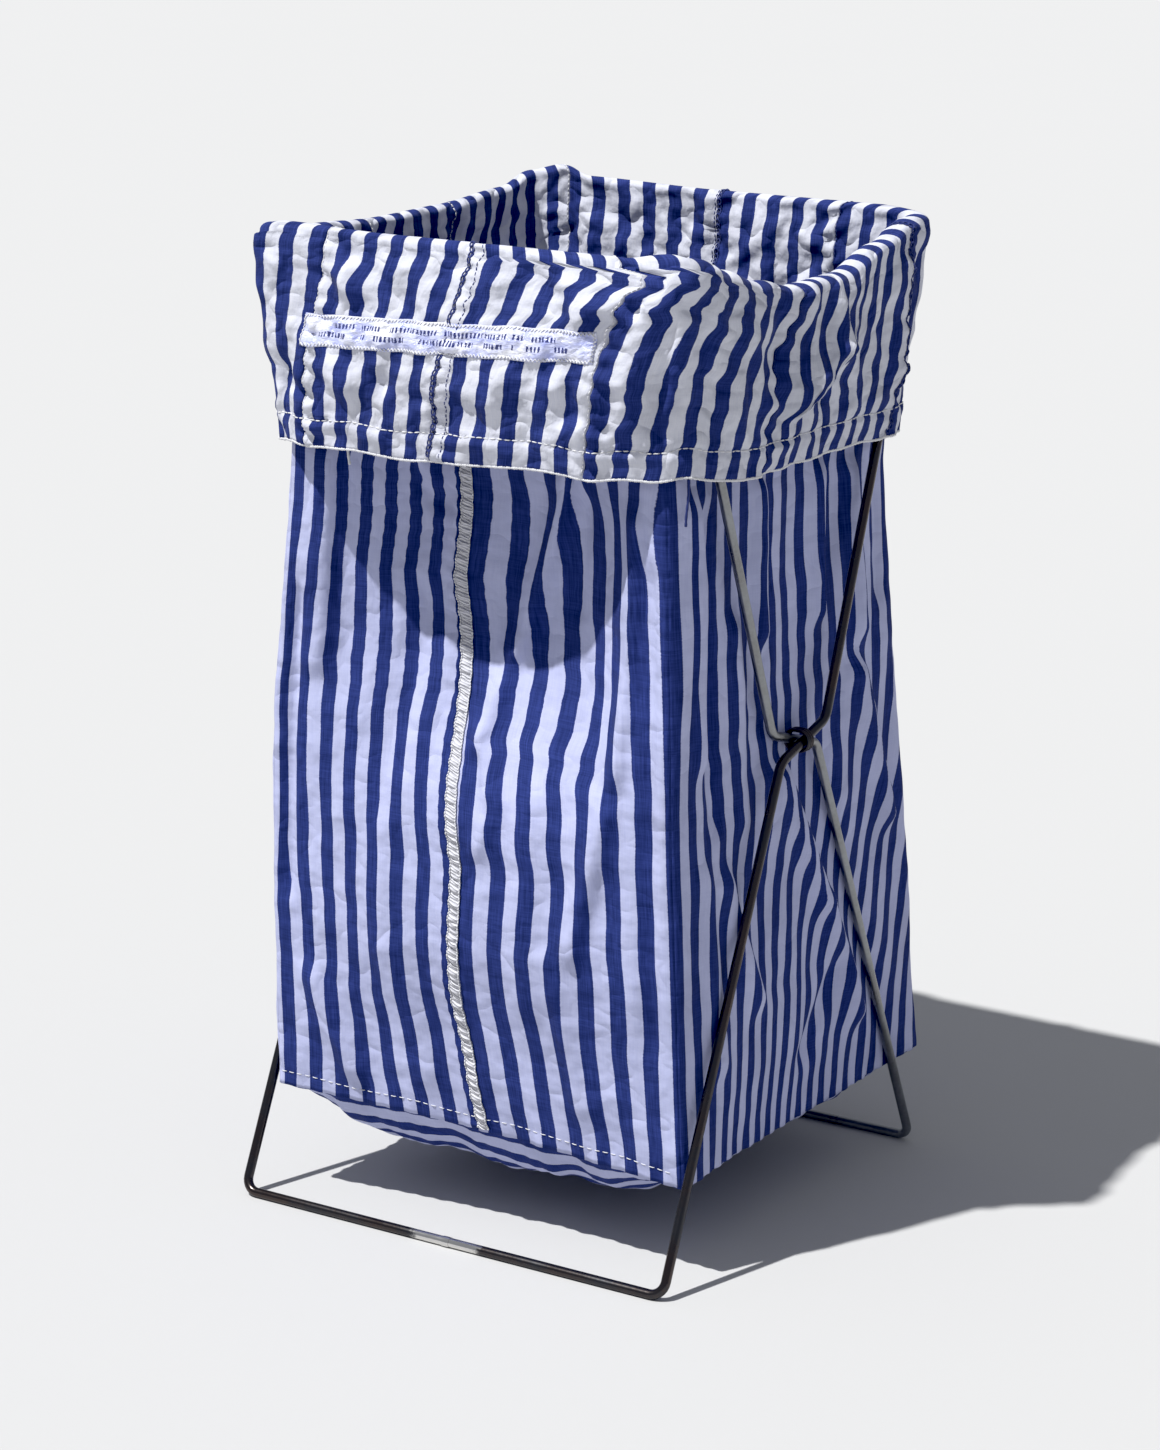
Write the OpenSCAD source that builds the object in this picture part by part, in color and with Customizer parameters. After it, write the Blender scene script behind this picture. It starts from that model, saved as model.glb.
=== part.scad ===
// Folding wire stand with a hanging striped cloth sack.
// X runs along the bars, +Y is the rear, +Z is up. The origin is on the floor, under the middle.

/* [Wire stand] */
// Length of a foot bar between the centres of the two legs
foot_len = 304; // [296:1:320]
// Length of a top bar between the centres of the two legs
top_len = 283; // [281:1:292]
// Diameter of the stand's wire
wire_d = 6; // [5:0.5:7]
// Distance between the centres of the two top bars
top_spread = 293; // [286:1:300]
// Distance between the centres of the two foot bars
foot_spread = 316; // [310:1:330]
// Height of a top bar's centre above the floor
top_bar_z = 605; // [590:1:630]
// Height of the middle of the crossing above the floor
cross_z = 306; // [296:1:316]
// Length in Y of the flat step that each leg makes at the crossing
step_run = 55; // [48:1:60]
// Drop in Z of that step
step_drop = 16; // [10:1:22]
// Bend radius at the corners of a loop, to the wire's centre
corner_r = 9; // [8:1:14]
// Bend radius at the ends of a step, to the wire's centre
step_r = 12; // [8:1:16]

/* [Pivot rings] */
// Diameter of the thin wire wound round a crossing
winding_d = 2.2; // [1.8:0.1:2.6]
// Turns of thin wire in one ring
winding_turns = 3; // [2:1:4]

/* [Sack] */
// Width of the sack's body
body_w = 273; // [262:1:273]
// Depth of the sack's body where it leaves the bars
body_top_d = 286; // [272:1:286]
// Height of the seam between the walls and the bottom
seam_z = 68; // [60:1:80]
// Lowest point of the sagging bottom
belly_z = 31; // [20:1:45]
// Thickness that stands for a layer of cloth
cloth_t = 2.4; // [1.5:0.1:3]

/* [Turned-down cuff] */
// Height of the cuff's lower edge
cuff_low_z = 482; // [460:1:500]
// Height at which the band inside the mouth meets the body
band_low_z = 500; // [486:1:520]
// Width of the woven label
label_w = 201; // [180:1:204]
// Height of the woven label
label_h = 19; // [14:1:24]

/* [Hidden] */
$fn = 48;
eps = 0.01;
wire_sides = 24;                               // sides of a stand wire's section
arc_step = 15;                                 // largest turn between two sections in a bend
weld_rise = 0.3;                               // how far a weld stands proud of the wire
gap = 0.4;                                     // air between cloth and wire
wire_r = wire_d / 2;
pass_x = wire_r + 0.2;                         // sideways offset of each wire at the crossing
foot_z = wire_r;
foot_half = foot_len / 2;
top_half = top_len / 2;
cross_half = (foot_half + top_half) / 2;       // half width of both loops at the crossing

rim_z = top_bar_z + wire_r + gap + cloth_t;    // top of the folded cloth
flap_x = cross_half + wire_r + 3;              // outside of the cuff, sideways
flap_y = top_spread / 2 + wire_r + 3.4;        // outside of the cuff, front and rear
wall_x = body_w / 2;
wall_y = body_top_d / 2;
foot_y = foot_spread / 2 + wire_r;             // outermost line of the foot bars
body_low_rear = foot_y;                        // the rear wall leans back to here
body_low_front = 133;                          // the front wall's lower edge
label_x = -4;
label_z = 555;
seam_w = 7;                                    // width of a serged seam allowance
cloth_blue = [0.36, 0.40, 0.72];
cloth_white = [0.86, 0.86, 0.92];

// Seams of the pieced band, as distances along each side
front_cuts = [-103, -8, 96];
right_cuts = [-50, 110];
rear_cuts = [-111, 2, 88];
left_cuts = [-45, 48];

// Routes of the two loose thread tails: straight down from under the cuff's edge
tail_d = 1.6;
tail_right_route = [[141, -126, 492], [141.1, -126.2, 486], [141.4, -126.8, 480],
    [141.6, -127.4, 474], [141.3, -127.9, 468], [140.8, -128, 462], [140.6, -127.7, 457]];
tail_left_route = [[-81, -147, 503], [-81.2, -147.1, 495], [-81.6, -147.4, 488],
    [-81.4, -147.6, 482], [-80.8, -147.6, 476], [-80, -147.4, 471]];

// ---- wire ----

function unit(v) = v / norm(v);
function side_of(d) = unit(cross(d, abs(d.x) < 0.9 ? [1, 0, 0] : [0, 1, 0]));
function turn_at(p, i) = let (n = len(p), a = unit(p[i] - p[(i + n - 1) % n]),
    b = unit(p[(i + 1) % n] - p[i])) acos(a * b);
function cut_at(p, i, r) = r * tan(turn_at(p, i) / 2);

// The points of a closed loop through corners p, with an arc of radius r[i] round corner i
function corner_arc(p, i, r) = let (n = len(p),
    into = unit(p[i] - p[(i + n - 1) % n]),
    out = unit(p[(i + 1) % n] - p[i]),
    inward = unit(out - (into * out) * into),
    centre = p[i] - into * cut_at(p, i, r) + inward * r,
    steps = ceil(turn_at(p, i) / arc_step))
    [for (k = [0 : steps]) let (a = k * turn_at(p, i) / steps)
        centre - inward * r * cos(a) + into * r * sin(a)];

// A closed loop of round wire; the vector facing is square to the loop's general plane
module wire_loop(p, r, d, facing) {
    path = [for (i = [0 : len(p) - 1]) each corner_arc(p, i, r[i])];
    m = len(path);
    points = [for (i = [0 : m - 1]) let (
        along = unit(path[(i + 1) % m] - path[(i + m - 1) % m]),
        u = unit(cross(along, facing)), v = cross(along, u))
        for (k = [0 : wire_sides - 1])
            path[i] + d / 2 * (cos(360 * k / wire_sides) * u + sin(360 * k / wire_sides) * v)];
    faces = [for (i = [0 : m - 1], k = [0 : wire_sides - 1]) let (j = (i + 1) % m,
        l = (k + 1) % wire_sides)
        [i * wire_sides + k, i * wire_sides + l, j * wire_sides + l, j * wire_sides + k]];
    polyhedron(points, faces);
}

// One frame: foot bar on one side (s = +1 rear, -1 front), top bar on the other
module stand_frame(s, step_x)
    wire_loop([
        [-foot_half, s * foot_spread / 2, foot_z],
        [foot_half, s * foot_spread / 2, foot_z],
        [step_x, s * step_run / 2, cross_z - step_drop / 2],
        [step_x, -s * step_run / 2, cross_z + step_drop / 2],
        [top_half, -s * top_spread / 2, top_bar_z],
        [-top_half, -s * top_spread / 2, top_bar_z],
        [-step_x, -s * step_run / 2, cross_z + step_drop / 2],
        [-step_x, s * step_run / 2, cross_z - step_drop / 2]],
        [corner_r, corner_r, step_r, step_r, corner_r, corner_r, step_r, step_r], wire_d,
        [0, top_bar_z, s * (foot_spread + top_spread) / 2]);

module front_top_frame() color("silver") stand_frame(1, cross_half - pass_x);
module rear_top_frame() color("dimgray") stand_frame(-1, cross_half + pass_x);

// The raised collar that a butt weld leaves round the middle of a foot bar
module weld(s) color("gainsboro")
    translate([0, s * foot_spread / 2, foot_z]) rotate([0, 90, 0]) difference() {
        cylinder(r = wire_r + weld_rise, h = 5, center = true);
        cylinder(r = wire_r + eps, h = 6, center = true);
    }
module front_foot_weld() weld(-1);
module rear_foot_weld() weld(1);

// Turns of thin wire round the two stand wires where they cross
module pivot_ring(s) color("black") {
    bend_r = 5.1 + winding_d / 2;
    half_run = 1.8;
    pitch = winding_d + 0.2;
    for (i = [0 : winding_turns - 1])
        translate([s * cross_half, (i - (winding_turns - 1) / 2) * pitch, cross_z])
            rotate([90, 0, 0]) {
                for (m = [0, 1]) mirror([m, 0, 0]) {
                    translate([half_run, 0, 0]) rotate([0, 0, -90])
                        rotate_extrude(angle = 180) translate([bend_r, 0])
                            circle(d = winding_d, $fn = 24);
                }
                for (m = [-1, 1]) translate([-half_run, m * bend_r, 0]) rotate([0, 90, 0])
                    cylinder(d = winding_d, h = 2 * half_run, $fn = 24);
            }
}
module pivot_ring_right() pivot_ring(1);
module pivot_ring_left() pivot_ring(-1);

// ---- sack body ----

// A wall of cloth: a slab between two edges, given by their lower and upper points
module wall(a_low, a_top, b_low, b_top, t) hull() for (p = [a_low, a_top, b_low, b_top])
    translate(p) cube(t, center = true);

body_top_z = band_low_z - cloth_t;
module front_wall(x0, x1) color(cloth_blue)
    wall([x0, -body_low_front, seam_z], [x0, -wall_y + cloth_t / 2, body_top_z],
         [x1, -body_low_front, seam_z], [x1, -wall_y + cloth_t / 2, body_top_z], cloth_t);
module body_front_left_panel()
    front_wall(-wall_x + cloth_t / 2, -cloth_t / 2 - 0.1);
module body_front_right_panel()
    front_wall(cloth_t / 2 + 0.1, wall_x - cloth_t / 2);
module body_rear_panel() color(cloth_blue)
    wall([-wall_x + cloth_t / 2, body_low_rear - cloth_t, seam_z],
         [-wall_x + cloth_t / 2, wall_y - cloth_t / 2, body_top_z],
         [wall_x - cloth_t / 2, body_low_rear - cloth_t, seam_z],
         [wall_x - cloth_t / 2, wall_y - cloth_t / 2, body_top_z], cloth_t);
module side_wall(s) color(cloth_blue)
    wall([s * (wall_x - cloth_t / 2), -body_low_front + cloth_t + 0.6, seam_z],
         [s * (wall_x - cloth_t / 2), -wall_y + 1.5 * cloth_t + 0.6, body_top_z],
         [s * (wall_x - cloth_t / 2), body_low_rear - 2 * cloth_t - 0.6, seam_z],
         [s * (wall_x - cloth_t / 2), wall_y - 1.5 * cloth_t - 0.6, body_top_z], cloth_t);
module body_right_panel() side_wall(1);
module body_left_panel() side_wall(-1);

// The bottom hangs below the seam as a shallow dish
module dish(lift) hull() {
    rim = [wall_x - cloth_t - 0.8, body_low_front - 0.8, body_low_rear - 2.2];
    for (x = [-1, 1], y = [-rim[1], rim[2]])
        translate([x * rim[0], y, seam_z - 1.5 * cloth_t + lift]) cube(cloth_t, center = true);
    for (x = [-1, 1], y = [-0.62 * rim[1], 0.62 * rim[2]])
        translate([x * 0.62 * rim[0], y, belly_z + cloth_t / 2 + lift]) cube(cloth_t, center = true);
}
module bottom_panel() color(cloth_blue) difference() {
    dish(0);
    translate([0, 0, eps]) dish(cloth_t);
}

// Overlocked allowances that stand out of the front and rear walls
module upright_strip(y_low, y_top, t) color(cloth_white) hull() {
    translate([0, y_low, seam_z + 10]) cube([seam_w, t, t], center = true);
    translate([0, y_top, body_top_z - 4]) cube([seam_w, t, t], center = true);
}
module front_serged_seam()
    upright_strip(-body_low_front - cloth_t / 2 - 1.4, -wall_y - 1.4, 1.4);
module rear_serged_seam()
    upright_strip(body_low_rear - 3.6 * cloth_t, wall_y - cloth_t - 2.6, 1.4);

// ---- turned-down cuff ----

module round_plate(x, y, r) offset(r = r) square([2 * (x - r), 2 * (y - r)], center = true);
module plate_ring(x, y, r, t) difference() {
    round_plate(x, y, r);
    round_plate(x - t, y - t, max(r - t, 0.5));
}

// The whole band: inner layer, fold over the bars and outer flap
module band() {
    translate([0, 0, band_low_z]) linear_extrude(rim_z - band_low_z)
        plate_ring(wall_x, wall_y, 6, cloth_t);
    translate([0, 0, cuff_low_z]) linear_extrude(rim_z - cuff_low_z)
        plate_ring(flap_x, flap_y, 10, cloth_t);
    translate([0, 0, rim_z - cloth_t]) linear_extrude(cloth_t)
        plate_ring(flap_x, flap_y, 10, flap_x - wall_x + cloth_t);
}

far = 400;
half_seam = 0.15;                              // each piece stops just short of its seam
module cut_block(x0, x1, y0, y1)
    translate([x0, y0, 0]) cube([x1 - x0, y1 - y0, 2 * far]);
module band_piece() color(cloth_white) intersection() {
    band();
    children();
}
module front_piece(i) band_piece()
    cut_block(front_cuts[i] + half_seam, front_cuts[i + 1] - half_seam, -far, 0);

module band_front_1() front_piece(0);
module band_front_2() front_piece(1);
module band_front_3() band_piece()
    cut_block(front_cuts[2] + half_seam, wall_x - 8 - half_seam, -far, 0);
module band_corner_front_right() band_piece()
    cut_block(wall_x - 8 + half_seam, far, -far, right_cuts[0] - half_seam);
module band_right() band_piece()
    cut_block(0, far, right_cuts[0] + half_seam, right_cuts[1] - half_seam);
module band_corner_rear_right() band_piece()
    cut_block(rear_cuts[2] + half_seam, far, right_cuts[1] + half_seam, far);
module band_rear_1() band_piece()
    cut_block(rear_cuts[1] + half_seam, rear_cuts[2] - half_seam, 0, far);
module band_rear_2() band_piece()
    cut_block(rear_cuts[0] + half_seam, rear_cuts[1] - half_seam, 0, far);
module band_corner_rear_left() band_piece()
    cut_block(-far, rear_cuts[0] - half_seam, left_cuts[1] + half_seam, far);
module band_left() band_piece()
    cut_block(-far, 0, left_cuts[0] + half_seam, left_cuts[1] - half_seam);
module band_corner_front_left() band_piece()
    cut_block(-far, front_cuts[0] - half_seam, -far, left_cuts[0] - half_seam);

module woven_label() color("white")
    translate([label_x, -flap_y - 0.5, label_z]) cube([label_w, 0.8, label_h], center = true);

// ---- loose thread tails ----

function along(route, i) = unit(route[min(i + 1, len(route) - 1)] - route[max(i - 1, 0)]);
function ring_points(route, i, r, n) = let (d = along(route, i), u = side_of(d), v = cross(d, u))
    [for (k = [0 : n - 1]) route[i] + r * (cos(360 * k / n) * u + sin(360 * k / n) * v)];
module tail(route, d) {
    n = 8;
    m = len(route);
    points = [for (i = [0 : m - 1]) each ring_points(route, i, d / 2, n)];
    sides = [for (i = [0 : m - 2], k = [0 : n - 1])
        [i * n + k, i * n + (k + 1) % n, (i + 1) * n + (k + 1) % n, (i + 1) * n + k]];
    first = [for (k = [0 : n - 1]) n - 1 - k];
    last = [for (k = [0 : n - 1]) (m - 1) * n + k];
    color("navy") polyhedron(points, concat([first], sides, [last]));
}
module thread_tail_right() tail(tail_right_route, tail_d);
module thread_tail_left() tail(tail_left_route, tail_d);

front_top_frame();
rear_top_frame();
front_foot_weld();
rear_foot_weld();
pivot_ring_right();
pivot_ring_left();
body_front_left_panel();
body_front_right_panel();
body_right_panel();
body_rear_panel();
body_left_panel();
bottom_panel();
front_serged_seam();
rear_serged_seam();
band_front_1();
band_front_2();
band_front_3();
band_corner_front_right();
band_right();
band_corner_rear_right();
band_rear_1();
band_rear_2();
band_corner_rear_left();
band_left();
band_corner_front_left();
woven_label();
thread_tail_right();
thread_tail_left();
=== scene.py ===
"""A folding wire stand with a hanging sack of striped shirting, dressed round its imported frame."""
import math

import bpy
import numpy as np
from mathutils import Matrix, Vector
from mathutils.bvhtree import BVHTree


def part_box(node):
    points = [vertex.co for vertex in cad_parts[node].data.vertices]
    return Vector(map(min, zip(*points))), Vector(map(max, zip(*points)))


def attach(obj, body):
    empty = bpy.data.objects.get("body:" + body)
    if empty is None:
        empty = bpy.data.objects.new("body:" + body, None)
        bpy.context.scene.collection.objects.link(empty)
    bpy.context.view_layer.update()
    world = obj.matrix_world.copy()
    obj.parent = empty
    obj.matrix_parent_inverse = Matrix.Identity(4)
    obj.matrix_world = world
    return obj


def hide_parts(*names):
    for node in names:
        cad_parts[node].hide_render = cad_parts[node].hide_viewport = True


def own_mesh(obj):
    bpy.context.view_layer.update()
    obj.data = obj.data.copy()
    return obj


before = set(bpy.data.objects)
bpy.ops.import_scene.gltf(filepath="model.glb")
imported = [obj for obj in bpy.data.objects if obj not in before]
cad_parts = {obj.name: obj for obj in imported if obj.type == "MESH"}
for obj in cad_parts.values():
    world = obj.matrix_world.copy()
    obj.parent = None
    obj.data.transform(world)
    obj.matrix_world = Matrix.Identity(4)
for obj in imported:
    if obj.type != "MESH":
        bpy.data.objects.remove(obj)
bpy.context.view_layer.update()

bl_info = {
    "name": "Striped mail sack on a wire stand",
    "version": (1, 0, 0),
    "blender": (4, 5, 0),
    "location": "View3D > Sidebar > Mail sack",
    "description": "Builds the cloth, seams, threads and finishes of a mail sack on its folding stand",
    "category": "Add Mesh",
}

# Shapes are worked out in millimetres, in the frame's own axes, and become metres in the meshes.
MM = 0.001


def span(node, axis):
    """Lowest and highest place of a CAD node along one axis, in millimetres."""
    low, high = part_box(node)
    return low[axis] / MM, high[axis] / MM


# ---- places taken from the frame ----

WIRE_R = span("front_foot_weld", 2)[1] / 2
RIM_Z = span("band_front_1", 2)[1]
BAND_LOW_Z = span("body_front_left_panel", 2)[1]
SEAM_Z = span("body_front_left_panel", 2)[0]
BELLY_Z = span("bottom_panel", 2)[0]
WALL_X = span("body_right_panel", 0)[1]
WALL_Y = -span("body_front_left_panel", 1)[0]
FLAP_X = span("band_right", 0)[1]
FLAP_Y = -span("band_front_1", 1)[0]
FRONT, RIGHT, REAR, LEFT = range(4)

# Cut places of the pieced band: side of the sack, place along it, and how far the seam leans
# to one way at the rim and at the lower edge
BAND_SEAMS = (
    (FRONT, span("band_front_1", 0)[0], 5, -6),
    (FRONT, span("band_front_2", 0)[0], 14, -9),
    (FRONT, span("band_front_2", 0)[1], 11, -10),
    (RIGHT, span("band_right", 1)[0], 32, -17),
    (RIGHT, span("band_right", 1)[1], 12, -18),
    (REAR, span("band_rear_1", 0)[1], 2, -2),
    (REAR, span("band_rear_1", 0)[0], 1, -2),
    (REAR, span("band_rear_2", 0)[0], 1, -2),
    (LEFT, span("band_left", 1)[1], 0, 4),
    (LEFT, span("band_left", 1)[0], 0, -3),
)
BAND_PIECES = (
    ("band_front_1", ("band_front_1",)),
    ("band_front_2", ("band_front_2",)),
    ("band_corner_front_right", ("band_front_3", "band_corner_front_right")),
    ("band_right", ("band_right",)),
    ("band_corner_rear_right", ("band_corner_rear_right",)),
    ("band_rear_1", ("band_rear_1",)),
    ("band_rear_2", ("band_rear_2",)),
    ("band_corner_rear_left", ("band_corner_rear_left",)),
    ("band_left", ("band_left",)),
    ("band_corner_front_left", ("band_corner_front_left",)),
)


# ---- settings a user would change ----

class ClothSettings(bpy.types.PropertyGroup):
    """Colours and stripe width of the shirting."""
    blue: bpy.props.FloatVectorProperty(
        name="Blue stripe", description="Colour of the blue yarn", subtype="COLOR",
        size=3, min=0, max=1, default=(0.019, 0.031, 0.140))
    body_white: bpy.props.FloatVectorProperty(
        name="Body white", description="Colour of the white yarn in the body", subtype="COLOR",
        size=3, min=0, max=1, default=(0.475, 0.50, 0.715))
    band_white: bpy.props.FloatVectorProperty(
        name="Cuff white", description="Colour of the white yarn in the cuff", subtype="COLOR",
        size=3, min=0, max=1, default=(0.64, 0.65, 0.72))
    stripe: bpy.props.FloatProperty(
        name="Stripe repeat", description="Width of one blue and one white stripe",
        default=0.019, min=0.008, max=0.04, unit="LENGTH")
    thickness: bpy.props.FloatProperty(
        name="Cloth thickness", description="Thickness of one layer of shirting",
        default=0.0004, min=0.0002, max=0.001, unit="LENGTH")


class WireSettings(bpy.types.PropertyGroup):
    """Colours of the stand's bare wire and the length of the ground patch by a weld. Both loops are one
    steel: the lighter loop's colour is painted reflection of bright surroundings, the darker loop's is
    painted shade from the dark surroundings it reflects.
    """
    # painted reflection: the lighter loop's colour stands for bright surroundings reflected in the steel
    bright: bpy.props.FloatVectorProperty(
        name="Bright wire", description="Colour of the lighter loop", subtype="COLOR",
        size=3, min=0, max=1, default=(0.27, 0.28, 0.29))
    # painted shade: the darker loop's colour stands for dark surroundings reflected in the same steel
    dark: bpy.props.FloatVectorProperty(
        name="Dark wire", description="Colour of the darker loop", subtype="COLOR",
        size=3, min=0, max=1, default=(0.060, 0.060, 0.062))
    ground_half: bpy.props.FloatProperty(
        name="Ground length", description="Half the length ground bright beside a weld",
        default=0.026, min=0.01, max=0.06, unit="LENGTH")


class StageSettings(bpy.types.PropertyGroup):
    """Floor, light and camera."""
    floor: bpy.props.FloatVectorProperty(
        name="Floor", description="Colour of the floor", subtype="COLOR",
        size=3, min=0, max=1, default=(0.520, 0.519, 0.514))
    key: bpy.props.FloatProperty(
        name="Key light", description="Strength of the key light", default=4.75, min=0, max=10)
    fill: bpy.props.FloatProperty(
        name="Fill light", description="Strength of the even light", default=0.34, min=0, max=3)


# ---- small maths ----

def unit(vectors):
    return vectors / np.maximum(np.linalg.norm(vectors, axis=-1, keepdims=True), 1e-9)


def ease(x):
    x = np.clip(x, 0, 1)
    return x * x * (3 - 2 * x)


def between(x, knots, values):
    """Values along x, eased from one knot to the next."""
    knots, values = np.asarray(knots, float), np.asarray(values, float)
    i = np.clip(np.searchsorted(knots, x) - 1, 0, len(knots) - 2)
    t = ease((x - knots[i]) / (knots[i + 1] - knots[i]))
    return values[i] + (values[i + 1] - values[i]) * t


def ripples(u, v, seed, size, waves=9):
    """A smooth uneven surface from -1 to 1, with features about as long as size."""
    rng = np.random.default_rng(seed)
    total = np.zeros(np.broadcast(u, v).shape)
    for _ in range(waves):
        angle, phase = rng.uniform(0, 2 * math.pi, 2)
        reach = 2 * math.pi / (size * rng.uniform(0.6, 1.7))
        total += np.sin(reach * (u * math.cos(angle) + v * math.sin(angle)) + phase)
    return total / math.sqrt(waves) / 1.6


def crease(u, v, start, end, rise, above, below, fade=18):
    """A fold along the line from start to end: it swells over 'above' on its left and falls
    over 'below' on its right, and dies away at both ends."""
    (u0, v0), (u1, v1) = start, end
    length = math.hypot(u1 - u0, v1 - v0)
    along = ((u - u0) * (u1 - u0) + (v - v0) * (v1 - v0)) / length
    across = ((v - v0) * (u1 - u0) - (u - u0) * (v1 - v0)) / length
    ends = ease(along / fade) * ease((length - along) / fade)
    side = np.where(across > 0, np.exp(-(across / above) ** 2), np.exp(-(across / below) ** 2))
    return rise * side * ends


def tuck(u, v, start, end, hidden, near, far, fade=34):
    """Cloth swallowed by a fold along a line: its stripes shift towards the line on both sides."""
    (u0, v0), (u1, v1) = start, end
    length = math.hypot(u1 - u0, v1 - v0)
    along = ((u - u0) * (u1 - u0) + (v - v0) * (v1 - v0)) / length
    across = ((v - v0) * (u1 - u0) - (u - u0) * (v1 - v0)) / length
    if v1 > v0:
        across = -across
    ends = ease(along / fade + 0.5) * ease((length - along) / fade)
    return hidden / 2 * np.tanh(across / near) * np.exp(-np.abs(across) / far) * ends


# ---- outlines round the sack ----

# Place round the sack is counted in sides: 0 at the front left corner, 1 at the front right,
# 2 at the rear right, 3 at the rear left.
CORNER_SIGNS = ((-1, -1), (1, -1), (1, 1), (-1, 1))


# Half widths on which the band's seams are placed: the cuff's at the front and right, which
# show their outer face, and the lining's at the rear and left, which show their inner one
SEEN_HALF = (FLAP_X - 1.5, FLAP_Y - 1.5, WALL_X, WALL_Y)


def place_of(side, where):
    """Place round the sack of a point given by its X on the front and rear, or Y on the sides."""
    half = SEEN_HALF[side]
    share = (where + half) / (2 * half)
    return side + (share if side in (FRONT, RIGHT) else 1 - share)


def around(corners, radii, place):
    """Plan points at places round four rounded corners, row by row.
    corners is (rows, 4, 2), radii is (rows, 4) and place is (rows, columns)."""
    side = np.floor(place).astype(int) % 4
    share = (place - np.floor(place))[..., None]

    def corner(step):
        index = ((side + step) % 4)[..., None]
        return np.take_along_axis(corners, index, axis=1)

    before, start, end, after = corner(-1), corner(0), corner(1), corner(2)
    near = np.take_along_axis(radii, side, axis=1)[..., None]
    far = np.take_along_axis(radii, (side + 1) % 4, axis=1)[..., None]
    length = np.linalg.norm(end - start, axis=-1, keepdims=True)
    along = (end - start) / length
    gone = share * length
    left = length - gone

    def bend(a, b, c, t):
        return (1 - t) ** 2 * a + 2 * t * (1 - t) * b + t ** 2 * c

    first = bend(start + unit(before - start) * near, start, start + along * near,
                 0.5 + 0.5 * gone / near)
    last = bend(end - along * far, end, end + unit(after - end) * far, 0.5 - 0.5 * left / far)
    straight = start + along * gone
    return np.where(gone < near, first, np.where(left < far, last, straight))


def outward(plan):
    """Unit vectors that point out of closed rows of plan points."""
    step = np.roll(plan, -1, axis=1) - np.roll(plan, 1, axis=1)
    return unit(np.stack([step[..., 1], -step[..., 0]], axis=-1))


def row_lengths(points):
    """Running length along each closed row, with the full length at the end."""
    steps = np.linalg.norm(np.roll(points, -1, axis=1) - points, axis=-1)
    return np.concatenate([np.zeros((len(points), 1)), np.cumsum(steps, axis=1)], axis=1)


class Ring:
    """Cloth that runs round the sack: points and cloth places, row by row from the lowest."""

    def __init__(self, points, place, stops, cloth_stops):
        self.points = points
        self.place = place
        self.columns = points.shape[1]
        run = row_lengths(points)
        self.cloth = np.zeros(points.shape[:2])
        for (first, last), (start, width) in zip(stops, cloth_stops):
            index = np.arange(first, last + 1)
            gone = run[:, np.minimum(index, self.columns)] - run[:, [first]]
            self.cloth[:, index % self.columns] = start + width * gone / gone[:, [-1]]
        rise = np.linalg.norm(np.diff(points, axis=0), axis=-1).mean(axis=1)
        self.height = np.concatenate([[0], np.cumsum(rise)])

    def normal(self):
        across = np.roll(self.points, -1, axis=1) - np.roll(self.points, 1, axis=1)
        up = np.gradient(self.points, axis=0)
        return unit(np.cross(across, up))

    def at(self, grid, column, row):
        """Values of a grid at fractional columns and rows."""
        column, row = np.asarray(column, float) % self.columns, np.asarray(row, float)
        row = np.clip(row, 0, len(grid) - 1.001)
        c, r = np.floor(column).astype(int), np.floor(row).astype(int)
        s, t = (column - c)[..., None], (row - r)[..., None]
        d = (c + 1) % self.columns
        low = grid[r, c] * (1 - s) + grid[r, d] * s
        high = grid[r + 1, c] * (1 - s) + grid[r + 1, d] * s
        return low * (1 - t) + high * t


# ---- meshes ----

def new_object(name, points, faces, cloth=None):
    """A smooth mesh object from points in millimetres, with cloth places in metres."""
    mesh = bpy.data.meshes.new(name)
    mesh.from_pydata((np.asarray(points) * MM).tolist(), [], faces)
    mesh.polygons.foreach_set("use_smooth", [True] * len(mesh.polygons))
    if cloth is not None:
        layer = mesh.attributes.new("cloth", "FLOAT_VECTOR", "POINT")
        flat = np.zeros((len(points), 3))
        flat[:, :cloth.shape[1]] = cloth * MM
        layer.data.foreach_set("vector", flat.ravel())
    mesh.update()
    piece = bpy.data.objects.new(name, mesh)
    bpy.context.scene.collection.objects.link(piece)
    return piece


def grid_faces(rows, columns, offset=0, flip=False):
    r, c = np.meshgrid(np.arange(rows - 1), np.arange(columns - 1), indexing="ij")
    a = (r * columns + c).ravel() + offset
    quad = np.stack([a, a + 1, a + columns + 1, a + columns], axis=1)
    return quad[:, ::-1] if flip else quad


def cloth_shell(name, points, cloth, thickness):
    """A closed layer of cloth: the grid, a second grid behind it and a rim between them."""
    rows, columns = points.shape[:2]
    across, up = np.gradient(points, axis=1), np.gradient(points, axis=0)
    back = points - unit(np.cross(across, up)) * thickness
    count = rows * columns
    ids = np.arange(count).reshape(rows, columns)
    rim = np.concatenate([ids[0, :-1], ids[:-1, -1], ids[-1, :0:-1], ids[:0:-1, 0]])
    after = np.roll(rim, -1)
    sides = np.stack([after, rim, rim + count, after + count], axis=1)
    faces = np.concatenate([grid_faces(rows, columns), grid_faces(rows, columns, count, True),
                            sides])
    both = np.concatenate([points.reshape(-1, 3), back.reshape(-1, 3)])
    places = np.concatenate([cloth.reshape(count, -1)] * 2)
    return new_object(name, both, faces.tolist(), places)


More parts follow.
